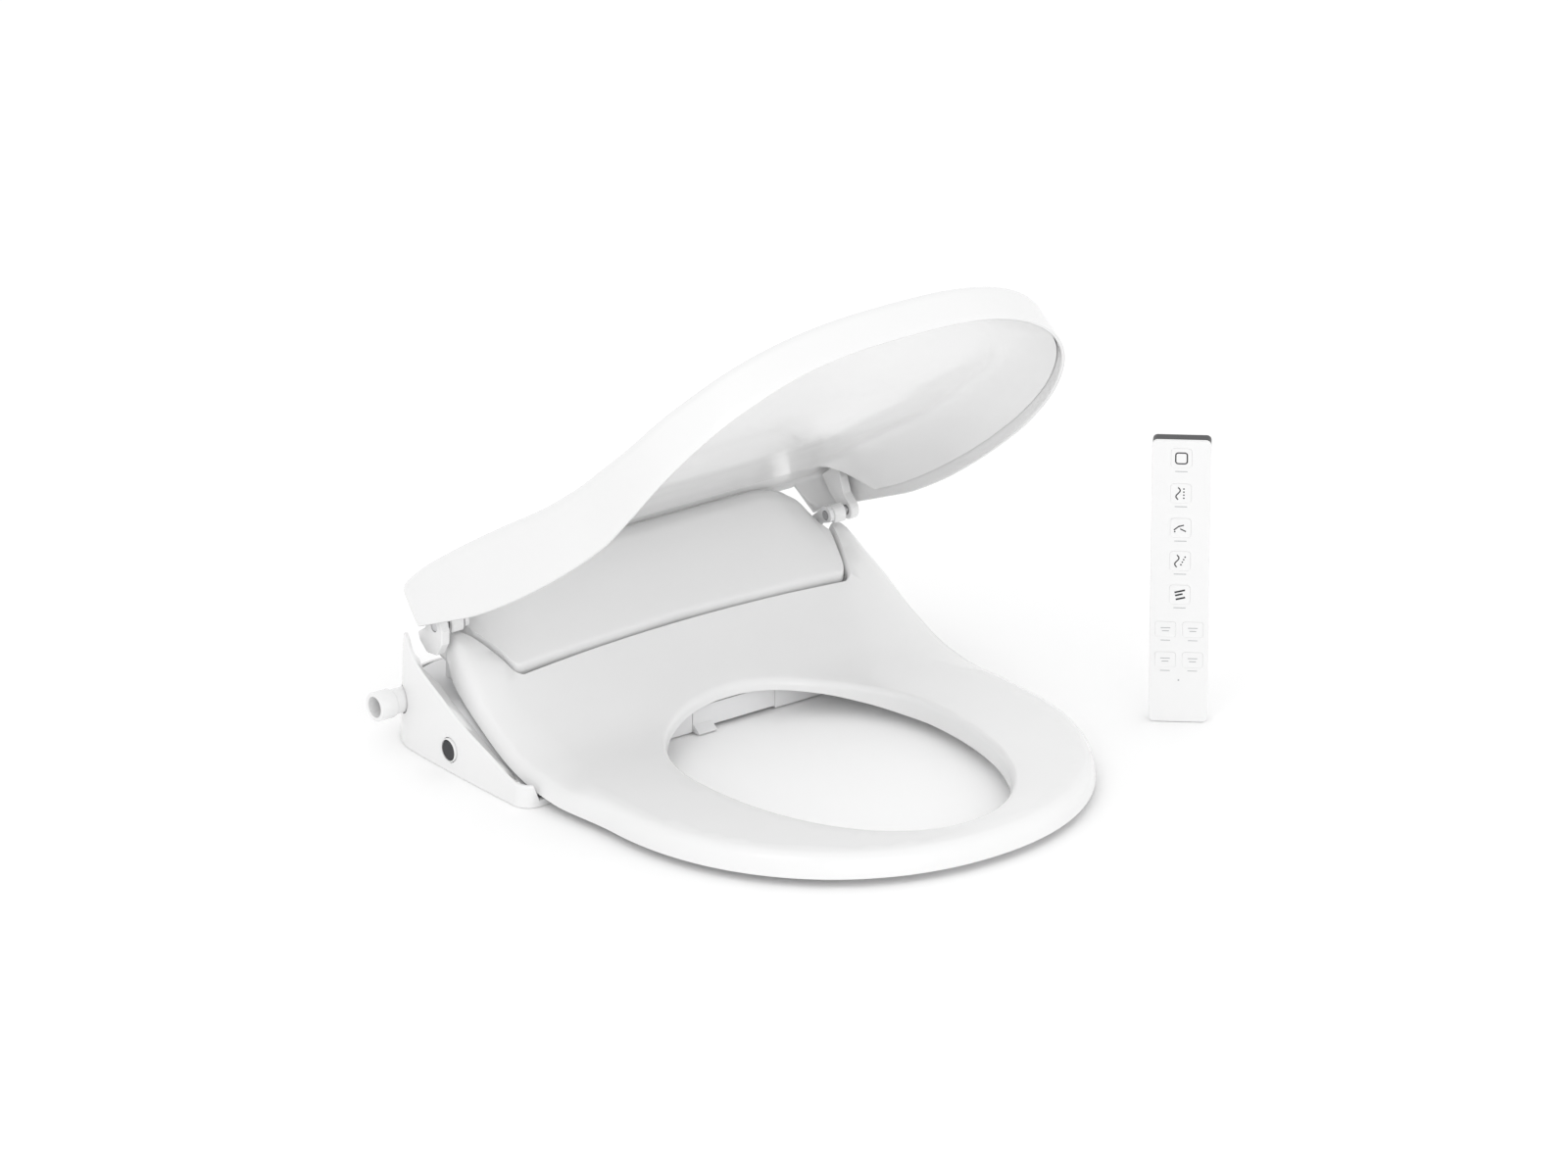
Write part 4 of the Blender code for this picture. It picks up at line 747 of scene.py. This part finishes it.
def build_remote():
    w, h, d = REMOTE_WIDTH, REMOTE_HEIGHT, REMOTE_DEPTH
    face = -d / 2
    low = h - 17.0
    front = piece("remote_face", slab(rounded((0, h / 2), (w, h), 4.0), face, face + 3.4),
                  "white_gloss", "remote", "remote_front")
    holes = [slab(key_outline((0, z), *KEY, KEY_GAP), face - 4, face + 8) for z in KEY_HEIGHTS]
    holes += [slab(key_outline(at, *SMALL_KEY, KEY_GAP), face - 4, face + 8) for at in SMALL_KEYS]
    cut(front, holes)
    bevel(front, 0.35)
    back = piece("remote_rear", slab(rounded((0, low / 2), (w - 0.6, low), 3.5), face + 3.7, d / 2),
                 "white_satin", "remote", "remote_back")
    cut(back, [slab(rounded((0, low / 2), (w - 5, low - 5), 2.0), face + 1.4, d / 2 - 1.6),
               slab(rounded((0, 52), (30.6, 70.6), 2.3), 0, d)])
    bevel(back, 0.5)
    bevel(piece("remote_cap", slab(rounded((0, h - 8.4), (w - 0.4, 16.4), 3.5), face + 3.7, d / 2),
                "dark", "remote", "remote_window"), 0.6)
    bevel(piece("remote_door", slab(rounded((0, 52), (30, 70), 2.0), d / 2 - 1.4, d / 2),
                "white_satin", "remote_door", "battery_door"), 0.3)
    for i, z in enumerate(KEY_HEIGHTS, 1):
        cap = slab(key_outline((0, z), *KEY), face, face + KEY_THICKNESS)
        bevel(piece("key_cap_%d" % i, cap, "white_gloss", "key_%d" % i, "remote_key_%d" % i), KEY_GAP)
    for i, at in enumerate(SMALL_KEYS, 1):
        cap = slab(key_outline(at, *SMALL_KEY), face, face + KEY_THICKNESS)
        bevel(piece("small_cap_%d" % i, cap, "white_gloss", "small_key_%d" % i,
                    "remote_small_key_%d" % i), KEY_GAP)


# ---------------------------------------------------------------- printed marks
def stroke(points, width):
    """The outline of a line with flat ends, through points in x and z."""
    points = np.array(points, float)
    ahead = np.gradient(points, axis=0)
    ahead /= np.linalg.norm(ahead, axis=1)[:, None]
    aside = np.stack([-ahead[:, 1], ahead[:, 0]], axis=1) * width / 2
    return list(points + aside) + list((points - aside)[::-1])


def printed(name, outlines, slot, body):
    """Ink on the remote's face or keys, as one thin piece."""
    face = -REMOTE_DEPTH / 2
    whole = bmesh.new()
    for outline in outlines:
        ink = slab([tuple(p) for p in outline], face - 0.06, face + 0.02)
        mesh = bpy.data.meshes.new("ink")
        ink.to_mesh(mesh)
        ink.free()
        whole.from_mesh(mesh)
        bpy.data.meshes.remove(mesh)
    piece(name, whole, slot, body)


def wave(x, z, size):
    """An upright S-shaped line."""
    t = np.linspace(0, 1, 17)
    return stroke(np.stack([x + size * 0.16 * np.sin(t * 2 * pi), z + size * (0.5 - t)], axis=1), 0.9)


def dash(x, z, length, slope=0.0, width=0.6):
    return stroke([(x - length / 2, z - slope * length / 2), (x + length / 2, z + slope * length / 2)],
                  width)


def dot(x, z, radius=0.45):
    return arc((x, z), radius, 0, 330, 12)


def build_marks():
    """Generic pictograms on the keys, and short dashes in place of labels."""
    z1, z2, z3, z4, z5 = KEY_HEIGHTS
    square = rounded((0, z1), (8.4, 8.4), 1.8)
    printed("icon_1", [stroke([a, b], 1.0) for a, b in zip(square, square[1:] + square[:1])], "dark",
            "key_1")
    printed("icon_2", [wave(-2.2, z2, 9.5)] + [dot(2.0, z2 + s, 0.6) for s in (-3.6, -1.2, 1.2, 3.6)],
            "dark", "key_2")
    printed("icon_3", [dash(-2.8, z3, 4.2, 0.8, 0.9), dash(0.6, z3 + 1.7, 3.6, 0.3, 0.9),
                       dash(1.8, z3 - 1.7, 4.2, -0.5, 0.9), dot(-4.2, z3 - 2.9, 0.6)], "dark", "key_3")
    printed("icon_4", [wave(-2.4, z4, 9.5)]
            + [dot(0.6 + s, z4 - 2.8 + 2.0 * s, 0.6) for s in (0, 1, 2, 3)], "dark", "key_4")
    printed("icon_5", [dash(0, z5 + 2.7, 7.6, 0.25, 1.3), dash(-0.6, z5, 5.4, 0.25, 1.3),
                       dash(0.6, z5 - 2.9, 6.8, 0.25, 1.3)], "dark", "key_5")
    labels = [dash(0, z - 10.3, 9, width=0.55) for z in KEY_HEIGHTS]
    labels += [dash(x, z - 8.6, 7, width=0.5) for x, z in SMALL_KEYS]
    printed("labels", labels + [dot(0, 33.0, 0.7)], "grey", "remote")
    for i, (x, z) in enumerate(SMALL_KEYS):
        printed("small_icon_%d" % (i + 1), [dash(x, z + 1.2, 7.0), dash(x, z - 1.2, 5.0)], "grey",
                "small_key_%d" % (i + 1))


# ---------------------------------------------------------------- stage
def build_floor():
    bpy.ops.mesh.primitive_plane_add(size=60, location=(0, 0, -0.0004))
    floor = bpy.context.object
    floor.name = "floor"
    floor.data.materials.append(finish("floor", (0.97, 0.97, 0.97), (0.98, 0.98, 0.98), (0.8, 0.9), 40,
                                       1e-5))


def area_light(name, place, aim, size, power):
    light = bpy.data.lights.new(name, "AREA")
    light.shape = "DISK"
    light.size = size
    light.energy = power
    made = bpy.data.objects.new(name, light)
    made.location = place
    made.rotation_euler = (Vector(aim) - Vector(place)).to_track_quat("-Z", "Y").to_euler()
    bpy.context.scene.collection.objects.link(made)


def build_studio():
    """Soft daylight from the front left, a weak fill, and a white surround."""
    area_light("key", (-2.6, -1.4, 2.6), (0, -0.15, 0.1), 1.6, 8)
    area_light("fill", (-0.9, -3.2, 0.7), (0, -0.1, 0.15), 2.4, 18)
    world = bpy.data.worlds.new("studio")
    world.use_nodes = True
    world.node_tree.nodes["Background"].inputs["Color"].default_value = (1, 1, 1, 1)
    world.node_tree.nodes["Background"].inputs["Strength"].default_value = 1.04
    bpy.context.scene.world = world
    bpy.context.scene.view_settings.view_transform = "Standard"


def build_camera():
    """A long lens from the front left, a little above."""
    azimuth, elevation = radians(-37.2), radians(22.4)
    target = Vector((0.1934, 0.0816, 0.0))
    back = Vector((sin(azimuth) * cos(elevation), -cos(azimuth) * cos(elevation), sin(elevation)))
    camera = bpy.data.cameras.new("camera")
    camera.lens = 264.6
    camera.clip_end = 100
    made = bpy.data.objects.new("camera", camera)
    made.location = target + back * 8.677
    made.rotation_euler = (-back).to_track_quat("-Z", "Y").to_euler()
    bpy.context.scene.collection.objects.link(made)
    bpy.context.scene.camera = made


def finish_cad_nodes():
    """Every node that still shows gets the material of its slot."""
    slots = {row["node"]: row["material_slot"] for row in frame["record"]["subparts"]}
    for name, made in frame["nodes"].items():
        made.data.materials.clear()
        made.data.materials.append(MATERIALS[slots[name]])


finish_cad_nodes()
build_seat()
build_lid()
build_casing()
build_cover()
build_fittings()
build_remote()
build_marks()
build_floor()
build_studio()
build_camera()
